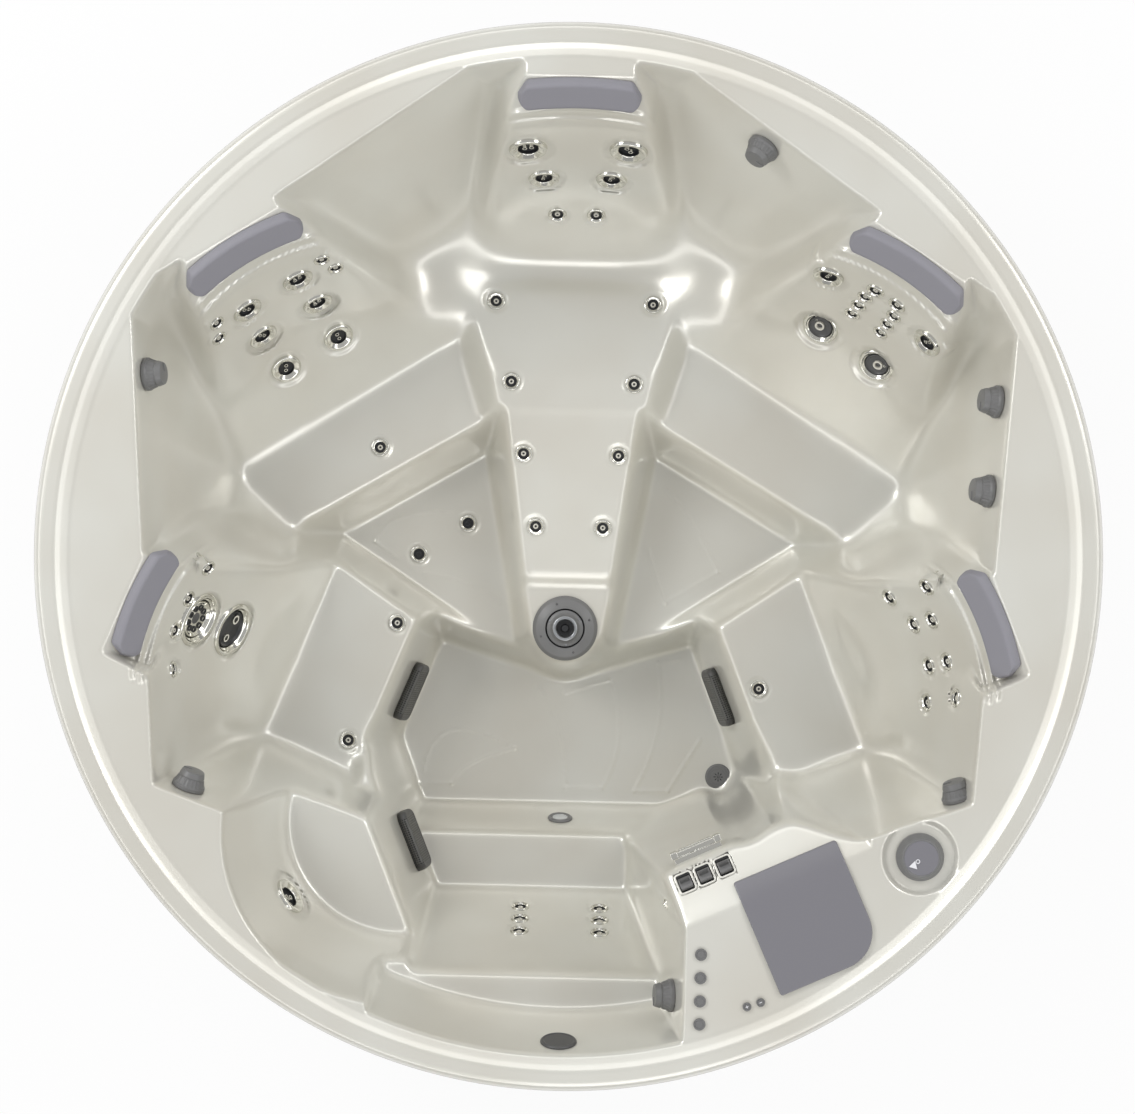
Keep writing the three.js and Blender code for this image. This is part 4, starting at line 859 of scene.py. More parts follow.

# %% [markdown]
# The floors carry thin raised outlines that mark the anti-slip fields. They are read off the
# photograph as a few points each, joined by curves, and raised in the map.

# %% Raised outlines
PHOTO_MIDDLE = (568.5, 556.5)
FOOTWELL_LINES = [
    [(376, 542), (400, 518), (453, 511)],
    [(376, 542), (387, 550), (398, 558)],
    [(425, 573), (467, 583), (500, 603)],
    [(667, 490), (694, 526), (718, 572)],
    [(648, 549), (656, 576), (665, 603)],
    [(665, 603), (691, 588), (718, 572)],
]
WELL_LINES = [
    [(424, 770), (452, 730), (515, 748)],
    [(515, 748), (474, 762), (452, 783)],
    [(452, 783), (436, 783), (420, 783)],
    [(537, 686), (559, 730), (565, 788)],
    [(565, 788), (584, 788), (602, 788)],
    [(602, 788), (619, 735), (610, 680)],
    [(610, 680), (587, 686), (565, 693)],
    [(680, 659), (669, 661), (658, 663)],
    [(658, 663), (658, 727), (634, 791)],
    [(634, 791), (651, 791), (668, 791)],
    [(668, 791), (684, 765), (700, 740)],
]


def from_photo(pixel, level):
    """The place on the tub that a pixel of the photograph shows at a level"""
    scale = (CAMERA_LEVEL - level) / FOCAL_PIXELS
    east = (pixel[0] - PHOTO_MIDDLE[0]) * scale
    north = (PHOTO_MIDDLE[1] - pixel[1]) * scale
    turn = Matrix.Rotation(CAMERA_TURN, 2)
    return turn @ Vector((east, north))


def curve_through(points, steps=40):
    """Places along a smooth curve from the first point to the last, through the middle one"""
    first, middle, last = (Vector(p) for p in points)
    control = middle * 2 - (first + last) / 2
    shares = [step / steps for step in range(steps + 1)]
    return [first * (1 - t) ** 2 + control * (2 * t * (1 - t)) + last * t ** 2 for t in shares]


def raise_bead(field, places, height, spread):
    lift = np.zeros_like(field)
    reach = int(spread * 3 / CELL) + 1
    for place in places:
        i = int(round(place.x / CELL)) + CELLS
        j = int(round(place.y / CELL)) + CELLS
        patch = (slice(i - reach, i + reach + 1), slice(j - reach, j + reach + 1))
        away = (map_x[patch] - place.x) ** 2 + (map_y[patch] - place.y) ** 2
        lift[patch] = np.maximum(lift[patch], height * np.exp(-away / spread ** 2))
    return field + lift


BEAD_HEIGHT = 0.0016
BEAD_SPREAD = 0.0042
for lines, level in ((FOOTWELL_LINES, SIDE_WELL), (WELL_LINES, WELL)):
    for line in lines:
        spots = [from_photo(pixel, level) for pixel in line]
        moulded = raise_bead(moulded, curve_through(spots), BEAD_HEIGHT, BEAD_SPREAD)
print("raised outlines:", len(FOOTWELL_LINES) + len(WELL_LINES))

# %% [markdown]
# The island is cut out for the filter and for the three waterfall levers. These are straight-sided
# holes, so they go into the map last, with no smoothing, and so do the cups of the jets. A copy of
# the map from before these cuts gives the shading later. The island has its own frame: u runs
# across it and r runs out from the middle of the tub.

# %% Cut-outs of the island
ISLAND_TURN = math.radians(ISLAND_FACING - 270)
ISLAND_FRAME = Matrix.Rotation(ISLAND_TURN, 4, "Z")
LEVER_SPOTS = (-0.0371, 0.0019, 0.0426)
LEVER_ROW = 0.6518
WINDOW_WIDTH = 0.0306 * RIM
WINDOW_LENGTH = 0.0376 * RIM
WINDOW_DEPTH = 0.022
WINDOW_ROOM = 0.002
FILTER_RADIUS = 0.0815 * RIM
FILTER_FLOOR = 0.55 * HEIGHT


def island_spot(u, r, level=0.0):
    """A place in the island's frame, given as shares of the rim's radius"""
    return ISLAND_FRAME @ Vector((u * RIM, -r * RIM, level))


map_u = map_x * math.cos(ISLAND_TURN) + map_y * math.sin(ISLAND_TURN)
map_r = map_x * math.sin(ISLAND_TURN) - map_y * math.cos(ISLAND_TURN)
slope_cos = math.sin(math.radians(ISLAND_LEAN))
uncut = moulded.copy()
for u in LEVER_SPOTS:
    in_window = np.abs(map_u - u * RIM) < WINDOW_WIDTH / 2 + WINDOW_ROOM
    in_window &= np.abs(map_r - LEVER_ROW * RIM) < WINDOW_LENGTH * slope_cos / 2 + WINDOW_ROOM
    moulded[in_window] -= WINDOW_DEPTH
for (point, facing), size in ALL_JETS:
    cup = 0.45 * JET_DEPTH[size] * RIM if size in ("whirl", "grand") else 0.36 * JET_FACE[size]
    press_dish(moulded, point, facing, 0.9 * JET_FACE[size], cup)
FILTER_SPOT = island_spot(0.149, 0.8225)
in_filter = np.hypot(map_x - FILTER_SPOT.x, map_y - FILTER_SPOT.y) < FILTER_RADIUS
moulded[in_filter] = FILTER_FLOOR
print("filter hole at", tuple(round(v, 3) for v in FILTER_SPOT))

# %% [markdown]
# The rim outside the basin is the same all the way round, so its roll is a curve of level against
# radius, smoothed in the same way.

# %% Rim roll
ROLL_STEP = 0.0005
ROLL_SPREAD = 0.0025
ROLL_REACH = 14
ROLL_BLEND = 0.006
roll_radius = np.arange(0.88 * RIM, 1.02 * RIM, ROLL_STEP)
roll_shape = np.interp(
    roll_radius / RIM,
    [0.9326, 0.935, 0.952, 0.962, 0.987, 0.996, 1.0],
    [0.98, 0.98, 0.991, 0.9995, 0.9985, 0.992, 0.98],
) * HEIGHT
kernel = np.exp(-0.5 * (np.arange(-ROLL_REACH, ROLL_REACH + 1) * ROLL_STEP / ROLL_SPREAD) ** 2)
roll_level = np.convolve(np.pad(roll_shape, ROLL_REACH, mode="edge"), kernel / kernel.sum(), mode="valid")
BASIN_EDGE = 0.9326 * RIM


def map_sample(field, x, y):
    """Bilinear reading of a map of levels"""
    i = np.clip(x / CELL + CELLS, 0, 2 * CELLS - 1.001)
    j = np.clip(y / CELL + CELLS, 0, 2 * CELLS - 1.001)
    i0 = i.astype(int)
    j0 = j.astype(int)
    u = i - i0
    v = j - j0
    near = field[i0, j0] * (1 - v) + field[i0, j0 + 1] * v
    far_row = field[i0 + 1, j0] * (1 - v) + field[i0 + 1, j0 + 1] * v
    return near * (1 - u) + far_row * u


def top_level(x, y, field=moulded):
    """The finished upper surface: a map of levels inside, the rim's roll outside"""
    radius = np.hypot(x, y)
    roll = np.interp(radius, roll_radius, roll_level)
    inside = map_sample(field, x, y)
    weight = np.clip((radius - BASIN_EDGE) / ROLL_BLEND, 0, 1)
    return inside * (1 - weight) + roll * weight


def top_normals(x, y, step=0.0015):
    """Normals of the sheet as it was before its straight holes were cut"""
    east = top_level(x + step, y, uncut)
    west = top_level(x - step, y, uncut)
    north = top_level(x, y + step, uncut)
    south = top_level(x, y - step, uncut)
    normals = np.stack([west - east, south - north, np.full_like(x, 2 * step)], axis=1)
    return normals / np.linalg.norm(normals, axis=1, keepdims=True)


print("roll top", round(float(roll_level.max()), 4))

# %% [markdown]
# The sheet starts as a square grid. Its square rings are pushed into circles, so that its border
# is the round rim with no pole in the middle, and every vertex takes its level from the map.
# A coarser grid makes the hidden underside, a sheet's thickness further down, and the two borders
# are joined by the lip that turns down round the rim.

# %% Shell
FINE = 430
COARSE = 110
LIP_LOW = 0.93 * HEIGHT
SHELL_FACES = 190000


def round_grid(cells, radius):
    """A square grid pushed into a disc"""
    form = bmesh.new()
    bmesh.ops.create_grid(form, x_segments=cells, y_segments=cells, size=1)
    flat = np.array([v.co[:2] for v in form.verts])
    a = flat[:, 0]
    b = flat[:, 1]
    wide = np.abs(a) > np.abs(b)
    safe_a = np.where(np.abs(a) < 1e-9, 1, a)
    safe_b = np.where(np.abs(b) < 1e-9, 1, b)
    reach = np.where(wide, a, b)
    angle = np.where(wide, math.pi / 4 * b / safe_a, math.pi / 2 - math.pi / 4 * a / safe_b)
    x = reach * np.cos(angle) * radius
    y = reach * np.sin(angle) * radius
    return form, x, y


def border_of(form):
    return [edge for edge in form.edges if edge.is_boundary]


upper, x, y = round_grid(FINE, RIM)
z = top_level(x, y)
for vert, place_x, place_y, place_z in zip(upper.verts, x, y, z):
    vert.co = (place_x, place_y, place_z)
lip_edges = border_of(upper)
for radius, level in ((RIM, LIP_LOW), (RIM - SHEET, LIP_LOW)):
    grown = bmesh.ops.extrude_edge_only(upper, edges=lip_edges)["geom"]
    for vert in [v for v in grown if isinstance(v, bmesh.types.BMVert)]:
        across = Vector((vert.co.x, vert.co.y, 0)).normalized() * radius
        vert.co = (across.x, across.y, level)
    lip_edges = [e for e in grown if isinstance(e, bmesh.types.BMEdge)]

under, x, y = round_grid(COARSE, RIM - SHEET)
z = top_level(x, y)
lean = top_normals(x, y, 0.006)
under_points = np.stack([x, y, z], axis=1) - lean * SHEET
edge_ring = np.hypot(x, y) > 0.93 * RIM
under_points[edge_ring] = np.stack([x, y, z - SHEET * 1.3], axis=1)[edge_ring]
for vert, spot in zip(under.verts, under_points):
    vert.co = spot
bmesh.ops.reverse_faces(under, faces=under.faces)
under_mesh = bpy.data.meshes.new("underside")
under.to_mesh(under_mesh)
under.free()
upper.from_mesh(under_mesh)
bpy.data.meshes.remove(under_mesh)
bmesh.ops.bridge_loops(upper, edges=border_of(upper))
bmesh.ops.triangulate(upper, faces=upper.faces)
print("before thinning:", len(upper.faces), "triangles, open edges:", len(border_of(upper)))
shell_mesh = bpy.data.meshes.new("shell_sheet")
upper.to_mesh(shell_mesh)
upper.free()

# %% [markdown]
# The dense sheet is thinned where it is flat, and its shading normals are then taken straight from
# the map, so the gloss stays smooth over the long triangles that thinning leaves.

# %% Thin the shell and smooth its shading
thick = bpy.data.objects.new("shell_thick", shell_mesh)
bpy.context.collection.objects.link(thick)
thinning = thick.modifiers.new("thin", "DECIMATE")
thinning.ratio = SHELL_FACES / len(shell_mesh.polygons)
deps = bpy.context.evaluated_depsgraph_get()
thin_mesh = bpy.data.meshes.new_from_object(thick.evaluated_get(deps))
bpy.data.objects.remove(thick)
bpy.data.meshes.remove(shell_mesh)


NEAR_MAP = 0.003
LIP_ROOM = 0.002


def shade_from_map(mesh):
    """Gives the upper surface the map's own normals and leaves the rest as it is"""
    mesh.shade_smooth()
    count = len(mesh.vertices)
    spots = np.empty(count * 3, dtype=np.float32)
    mesh.vertices.foreach_get("co", spots)
    spots = spots.reshape(count, 3).astype(float)
    own = np.empty(count * 3, dtype=np.float32)
    mesh.vertex_normals.foreach_get("vector", own)
    own = own.reshape(count, 3).astype(float)
    level = top_level(spots[:, 0], spots[:, 1], uncut)
    on_top = np.abs(level - spots[:, 2]) < NEAR_MAP
    on_top &= np.hypot(spots[:, 0], spots[:, 1]) < RIM - LIP_ROOM
    own[on_top] = top_normals(spots[on_top, 0], spots[on_top, 1])
    mesh.normals_split_custom_set_from_vertices([tuple(n) for n in own])


shade_from_map(thin_mesh)
shell = bpy.data.objects.new("shell_sheet", thin_mesh)
bpy.context.collection.objects.link(shell)
thin_mesh.materials.append(pearl)
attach(shell, "tub")
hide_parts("shell")
print("shell:", len(thin_mesh.polygons), "triangles")

# %% [markdown]
# The fittings are turned parts: bezels, knobs, covers and caps. A turned part is a profile of
# radius and height that is spun once round. Each corner of the profile is rounded first, which
# gives the small radii that catch the light on real mouldings.

# %% Turned parts
def rounded(profile, radius, steps=3):
    """The profile with each of its inner corners replaced by a short arc"""
    points = [Vector(p) for p in profile]
    made = [points[0]]
    for before, corner, after in zip(points, points[1:], points[2:]):
        back = before - corner
        ahead = after - corner
        cut = min(radius, back.length * 0.45, ahead.length * 0.45)
        start = corner + back.normalized() * cut
        end = corner + ahead.normalized() * cut
        for step in range(steps + 1):
            t = step / steps
            made.append(start * (1 - t) ** 2 + corner * (2 * t * (1 - t)) + end * t ** 2)
    return [*made, points[-1]]


def turned(profile, sides=32, radius=0.001):
    """A closed form from a profile that starts and ends on the axis"""
    form = bmesh.new()
    verts = [form.verts.new((p[0], 0, p[1])) for p in rounded(profile, radius)]
    edges = [form.edges.new(pair) for pair in zip(verts, verts[1:])]
    bmesh.ops.spin(
        form, geom=verts + edges, axis=UP, cent=(0, 0, 0), steps=sides, angle=math.tau, use_merge=True
    )
    bmesh.ops.remove_doubles(form, verts=form.verts, dist=1e-6)
    return form


def paint(form, index, test):
    """Gives a finish to the faces whose middle passes a test of radius and height"""
    for face in form.faces:
        middle = face.calc_center_median()
        if test(math.hypot(middle.x, middle.y), middle.z):
            face.material_index = index


def stand(form, place, lift=0.0, turn=0.0):
    """Stands a form on the shell: its +Z points away from the sheet and its +X lies level"""
    point, facing = place
    side = UP.cross(facing)
    side = side.normalized() if side.length > 1e-6 else Vector((1, 0, 0))
    rise = facing.cross(side)
    standing = Matrix((side, rise, facing)).transposed().to_4x4()
    standing.translation = point + facing * lift
    form.transform(standing @ Matrix.Rotation(turn, 4, "Z"))
    return form


def thicken(form, height):
    """Draws a flat form straight up, so that it becomes a solid"""
    drawn = bmesh.ops.extrude_face_region(form, geom=form.faces)["geom"]
    upper_verts = [g for g in drawn if isinstance(g, bmesh.types.BMVert)]
    bmesh.ops.translate(form, verts=upper_verts, vec=(0, 0, height))


def round_off(form, edges, offset, segments=3):
    """Rounds edges over"""
    bmesh.ops.bevel(
        form, geom=edges, offset=offset, segments=segments, profile=0.5, affect="EDGES", material=-1
    )


def boxed(width, depth, height, middle, radius, segments=3):
    """A box with rounded edges"""
    form = bmesh.new()
    bmesh.ops.create_cube(form, size=1)
    form.transform(Matrix.Translation(middle) @ Matrix.Diagonal((width, depth, height, 1)))
    round_off(form, form.edges, radius, segments)
    return form


def spots_round(count, radius, start=0.0):
    """Evenly spaced places on a circle"""
    angles = [step * math.tau / count + start for step in range(count)]
    return [(radius * math.cos(angle), radius * math.sin(angle)) for angle in angles]


def gather(forms):
    """Several forms as one"""
    whole = bmesh.new()
    for form in forms:
        mesh = bpy.data.meshes.new("part")
        form.to_mesh(mesh)
        form.free()
        whole.from_mesh(mesh)
        bpy.data.meshes.remove(mesh)
    return whole


def keep(name, form, finishes, body, slot_name, *nodes):
    """Makes a form a piece of the tub that moves with a body and stands for CAD nodes"""
    bmesh.ops.recalc_face_normals(form, faces=form.faces)
    mesh = bpy.data.meshes.new(name)
    form.to_mesh(mesh)
    form.free()
    for made in finishes:
        mesh.materials.append(made)
    mesh.shade_smooth()
    piece = bpy.data.objects.new(name, mesh)
    bpy.context.collection.objects.link(piece)
    even = piece.modifiers.new("even shading", "WEIGHTED_NORMAL")
    even.keep_sharp = True
    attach(piece, body)
    if nodes:
        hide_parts(*nodes)
    return piece


# %% [markdown]
# A jet is a chrome bezel round a dark cup. The bezel is a soft ring that dips towards the cup, and
# the cup holds an insert: a pale nozzle in the small ones, two chrome ports in the middle sizes.
# In the largest the cup stays open, because a separate face turns inside it. The bodies of a bank
# are joined behind the sheet by its hose.

# %% Jets
JET_THROAT = {"tiny": 0.6, "small": 0.6, "medium": 0.52, "large": 0.52, "whirl": 0.66, "grand": 0.68}
JET_FINISHES = [chrome, black_plastic, pale_insert]
HOSE_RADIUS = 0.0105 * RIM


def tube(start, end, radius, sides=12):
    """A straight round tube between two points"""
    span = end - start
    form = bmesh.new()
    bmesh.ops.create_cone(
        form, cap_ends=True, segments=sides, radius1=radius, radius2=radius, depth=span.length
    )
    aim = span.to_track_quat("Z", "Y").to_matrix().to_4x4()
    form.transform(Matrix.Translation((start + end) / 2) @ aim)
    return form


def ring(x, y, low, high, radius, finish_index):
    """A short upright ring at a place inside a jet"""
    bore = radius * 0.56
    bottom = low + 0.0004
    form = turned([
        (0, low),
        (radius, low),
        (radius, high),
        (radius * 0.62, high),
        (bore, bottom),
        (0, bottom),
    ], 16, 0.0003)
    paint(form, finish_index, lambda r, z: True)
    paint(form, 1, lambda r, z: r < bore)
    form.transform(Matrix.Translation((x, y, 0)))
    return form


def jet(size, dark):
    """One jet on its own axis, with its body behind the sheet"""
    face = JET_FACE[size]
    throat = JET_THROAT[size] * face
    deep = 0.4 * JET_DEPTH[size] * RIM if size in ("whirl", "grand") else 0.3 * face
    body = turned([
        (0, -JET_DEPTH[size] * RIM),
        (0.7 * face, -JET_DEPTH[size] * RIM),
        (0.7 * face, -0.32 * face),
        (0.96 * face, -0.26 * face),
        (face, -0.1 * face),
        (0.93 * face, 0.07 * face),
        (0.8 * face, 0.09 * face),
        (throat + 0.07 * face, -0.02 * face),
        (throat, -0.06 * face),
        (throat, -deep),
        (0, -deep),
    ], 32, 0.05 * face)
    paint(body, 1, lambda r, z: r < throat * 1.01 and -deep * 1.05 < z < -0.1 * face)
    made = [body]
    if size in ("tiny", "small"):
        insert = turned([
            (0, -deep),
            (0.5 * throat, -deep),
            (0.46 * throat, -0.1 * face),
            (0.3 * throat, -0.06 * face),
            (0.2 * throat, -0.16 * face),
            (0, -0.16 * face),
        ], 16, 0.0004)
        paint(insert, 1 if dark else 2, lambda r, z: True)
        paint(insert, 1, lambda r, z: r < 0.2 * throat)
        made.append(insert)
    if size in ("medium", "large"):
        made += [ring(side * 0.34 * throat, 0, -deep, -0.12 * face, 0.24 * throat, 0) for side in BOTH]
    return gather(made)


def behind(stop):
    place, size = stop
    if size is None:
        return place
    return place[0] - place[1] * (JET_DEPTH[size] * RIM * 0.86)


for index, (name, bank) in enumerate(JET_BANKS.items()):
    forms = []
    for count, (place, size) in enumerate(bank):
        if size:
            forms.append(stand(jet(size, name == "foot_jets"), place, turn=count * 1.1 + index))
        if count:
            forms.append(tube(behind(bank[count - 1]), behind(bank[count]), HOSE_RADIUS))
    keep(name + "_dressed", gather(forms), JET_FINISHES, "tub", "chrome", name)
extra = [stand(jet(size, False), place) for place, size in EXTRA_JETS]
keep("seat_edge_jets", gather(extra), JET_FINISHES, "tub", "chrome")
print("jet banks dressed:", len(JET_BANKS))

# %% [markdown]
# The turning faces are dark dished discs. Water leaves them off-centre, which makes them turn,
# so each has ports to one side: a single nozzle, a ring of holes or a pair of ports.

# %% Turning jet faces
FACE_FINISHES = [dark_plastic, black_plastic, chrome, pale_insert]
PORT_FOOT = -0.22


def face_disc(radius, cup):
    return turned([
        (0, -cup),
        (radius, -cup),
        (radius, -0.1 * radius),
        (0.94 * radius, -0.04 * radius),
        (0.82 * radius, -0.16 * radius),
        (0.3 * radius, -0.2 * radius),
        (0, -0.2 * radius),
    ], 40, 0.0008)


def nozzle_face(radius, cup):
    nozzle = ring(0.12 * radius, 0, PORT_FOOT * radius, -0.02 * radius, 0.42 * radius, 3)
    port = ring(0.68 * radius, 0, PORT_FOOT * radius, -0.14 * radius, 0.1 * radius, 2)
    return [face_disc(radius, cup), nozzle, port]


def holed_face(radius, cup):
    disc = face_disc(radius, cup)
    paint(disc, 2, lambda r, z: r > 0.3 * radius and z > -0.21 * radius)
    holes = [
        ring(*spot, PORT_FOOT * radius, -0.12 * radius, 0.17 * radius, 1)
        for spot in spots_round(9, 0.6 * radius)
    ]
    return [disc, *holes]


def paired_face(radius, cup):
    disc = face_disc(radius, cup)
    paint(disc, 1, lambda r, z: True)
    ports = [
        ring(across * radius, up * radius, PORT_FOOT * radius, -0.04 * radius, size * radius, 2)
        for across, up, size in ((0.46, -0.3, 0.26), (-0.4, 0.34, 0.22))
    ]
    return [disc, *ports]


TURNING_FACES = [
    ("right_seat_jet_face_1", on_seat(RIGHT_SEAT, -0.0674, 0.5464), "whirl", nozzle_face, 0.4),
    ("right_seat_jet_face_2", on_seat(RIGHT_SEAT, 0.0674, 0.5464), "whirl", nozzle_face, 2.6),
    ("left_corner_jet_face_1", on_seat(LEFT_CORNER, 0, 0.7432), "grand", holed_face, 0),
    ("left_corner_jet_face_2", on_seat(LEFT_CORNER, 0, 0.5956), "grand", paired_face, 0.5),
]
for name, place, size, face_form, turn_by in TURNING_FACES:
    radius = JET_THROAT[size] * JET_FACE[size] * 0.95
    cup = 0.4 * JET_DEPTH[size] * RIM - RISE
    disc = gather(face_form(radius, cup))
    keep(name + "_dressed", stand(disc, place, turn=turn_by), FACE_FINISHES, name, "chrome", name)
print("turning faces:", len(TURNING_FACES))

# %% [markdown]
# The pod jet stands alone at the foot of the lounge: a grey disc with four screw caps, a dark
# groove, and a raised nozzle with a pale rim that turns.

# %% Pod jet
POD_OUTER = 0.0669 * RIM
POD_LIP = 0.04 * RIM
POD_SHANK = 0.032 * RIM
POD_PLACE = (Vector((POD_X, POD_Y, POD)), UP)
POD_FINISHES = [grey_plastic, black_plastic, steel]
pod = turned([
    (0, -0.05 * RIM),
    (POD_SHANK, -0.05 * RIM),
    (POD_SHANK, RISE),
    (POD_OUTER, RISE),
    (POD_OUTER, 0.004),
    (0.9 * POD_OUTER, 0.012),
    (0.7 * POD_OUTER, 0.018),
    (POD_LIP * 1.02, 0.02),
    (POD_LIP, 0.016),
    (POD_LIP, 0.004),
    (0, 0.004),
], 64, 0.0015)
paint(pod, 1, lambda r, z: r < POD_LIP * 1.005 and z > 0.003)
caps = [ring(*spot, 0.013, 0.0165, 0.0022, 1) for spot in spots_round(4, 0.78 * POD_OUTER, 0.35)]
pod = stand(gather([pod, *caps]), POD_PLACE)
keep("pod_jet_body_dressed", pod, POD_FINISHES, "tub", "trim", "pod_jet_body")
nozzle = turned([
    (0, 0.005),
    (0.94 * POD_LIP, 0.005),
    (0.94 * POD_LIP, 0.016),
    (0.8 * POD_LIP, 0.019),
    (0.72 * POD_LIP, 0.022),
    (0.62 * POD_LIP, 0.03),
    (0.5 * POD_LIP, 0.031),
    (0.44 * POD_LIP, 0.026),
    (0.4 * POD_LIP, 0.012),
    (0.2 * POD_LIP, 0.012),
    (0.18 * POD_LIP, 0.018),
    (0, 0.019),
], 48, 0.0012)
paint(nozzle, 1, lambda r, z: r < 0.43 * POD_LIP)
paint(nozzle, 2, lambda r, z: 0.43 * POD_LIP < r < 0.62 * POD_LIP and z > 0.028)
lugs = [ring(*spot, 0.014, 0.0195, 0.0024, 2) for spot in spots_round(3, 0.86 * POD_LIP, 0.6)]
nozzle = stand(gather([nozzle, *lugs]), POD_PLACE)
keep("pod_jet_face_dressed", nozzle, POD_FINISHES, "pod_jet_face", "trim", "pod_jet_face")
print("pod jet at", tuple(round(v, 3) for v in POD_PLACE[0]))

# %% [markdown]
# An air control knob is a cone with a fluted skirt, a groove under its cap and a small ridge that
# shows how far it is turned. The flutes are made after the spin, by drawing every other rib of
# the skirt towards the axis.

# %% Air control knobs
KNOB_SKIRT = 0.0315 * RIM
KNOB_TOP = 0.021 * RIM
KNOB_RISE = 0.035 * RIM
KNOB_RIBS = 22
KNOBS = [
    ("knob_lounge", 55, 0.1619, 0.907, 0.6, 0.93),
    ("knob_right_1", -4, 0.3675, 0.907, 0.6, 0.93),
    ("knob_right_2", -4, 0.1977, 0.907, 0.6, 0.93),
    ("knob_right_corner", 289.5, 0.5591, 0.907, 0.5, 0.93),
    ("knob_left_corner", 250.5, -0.5171, 0.907, 0.5, 0.93),
    ("knob_left", 184, -0.3806, 0.907, 0.6, 0.93),
    ("knob_entry", 0, -0.8311, 0.858, 0.1, 0.35),
]


def knob():
    form = turned([
        (0, -0.035 * RIM),
        (0.0105 * RIM, -0.035 * RIM),
        (0.0105 * RIM, RISE),
        (KNOB_SKIRT, RISE),
        (KNOB_SKIRT, 0.2 * KNOB_RISE),
        (0.92 * KNOB_SKIRT, 0.3 * KNOB_RISE),
        (0.8 * KNOB_SKIRT, 0.6 * KNOB_RISE),
        (0.74 * KNOB_SKIRT, 0.62 * KNOB_RISE),
        (0.74 * KNOB_SKIRT, 0.68 * KNOB_RISE),
        (0.78 * KNOB_SKIRT, 0.7 * KNOB_RISE),
        (KNOB_TOP, KNOB_RISE),
        (0, KNOB_RISE * 1.03),
    ], KNOB_RIBS * 4, 0.0011)
    for vert in form.verts:
        radius = math.hypot(vert.co.x, vert.co.y)
        if 0.26 * KNOB_RISE < vert.co.z < 0.61 * KNOB_RISE and radius > 0.5 * KNOB_SKIRT:
            ribs = 0.5 + 0.5 * math.cos(math.atan2(vert.co.y, vert.co.x) * KNOB_RIBS)
            squeeze = 1 - 0.06 * ribs
            vert.co.x *= squeeze
            vert.co.y *= squeeze
    ridge = boxed(KNOB_TOP * 0.8, 0.0035, 0.005, (0.55 * KNOB_TOP, 0, KNOB_RISE), 0.0011, 2)
    return gather([form, ridge])


for name, *where in KNOBS:
    keep(name + "_dressed", stand(knob(), on_wall(*where)), [grey_plastic], name, "trim", name)
print("knobs:", len(KNOBS))

# %% [markdown]
# A suction cover is a domed grille. Its hundreds of holes are drawn by its material: a grid on the
# cover's own UV map, which is written while the cover still lies flat, darkens a round spot in
# each cell and presses it in.

# %% Perforated finish
HOLE_PITCH = 0.0052

perforated = finish("perforated grille", colour(84, 84, 82), 0.42)
flat_map = add_node(perforated, "ShaderNodeUVMap")
flat_map.uv_map = "flat"
cells = perforated.node_tree.nodes.new("ShaderNodeVectorMath")
cells.operation = "FRACTION"
centred = perforated.node_tree.nodes.new("ShaderNodeVectorMath")
centred.operation = "DISTANCE"
centred.inputs[1].default_value = (0.5, 0.5, 0)
spots = add_node(perforated, "ShaderNodeMapRange")
spots.inputs["From Min"].default_value = 0.24
spots.inputs["From Max"].default_value = 0.34
hole_tones = add_node(perforated, "ShaderNodeValToRGB")
hole_tones.color_ramp.elements[0].color = colour(18, 18, 18)
hole_tones.color_ramp.elements[1].color = colour(92, 92, 90)
hole_dent = add_node(perforated, "ShaderNodeBump", Strength=1.0, Distance=0.002)
link(perforated, flat_map, 0, cells, 0)
link(perforated, cells, 0, centred, 0)
link(perforated, centred, "Value", spots, "Value")
link(perforated, spots, 0, hole_tones, "Fac")
link(perforated, spots, 0, hole_dent, "Height")
link(perforated, hole_tones, "Color", shader_of(perforated), "Base Color")
link(perforated, hole_dent, "Normal", shader_of(perforated), "Normal")

# %% Suction covers
GRILLE_LENGTH = 0.126 * RIM
GRILLE_WIDTH = 0.0787 * RIM
GRILLE_RISE = 0.019 * RIM


def rounded_plate(length, width, corner, thick, corner_steps=6):
    """A flat plate with rounded corners, its underside at height zero"""
    form = bmesh.new()
    bmesh.ops.create_grid(form, x_segments=1, y_segments=1, size=0.5)
    form.transform(Matrix.Diagonal((length, width, 1, 1)))
    bmesh.ops.bevel(
        form, geom=form.verts, offset=corner, segments=corner_steps,
        profile=0.5, affect="VERTICES", material=-1,
    )
    thicken(form, thick)
    bmesh.ops.recalc_face_normals(form, faces=form.faces)
    return form


def top_of(form):
    high = max(v.co.z for v in form.verts)
    return [f for f in form.faces if all(v.co.z > high - 1e-6 for v in f.verts)]


def rounded_edges(form, offset, segments=3):
    """Rounds the edges round the top"""
    round_off(form, list({e for f in top_of(form) for e in f.edges}), offset, segments)
    return form


def peg(radius, low, high):
    """A round peg that runs back through the sheet"""
    return turned([(0, low), (radius, low), (radius, high), (0, high)], 24, 0.0005)


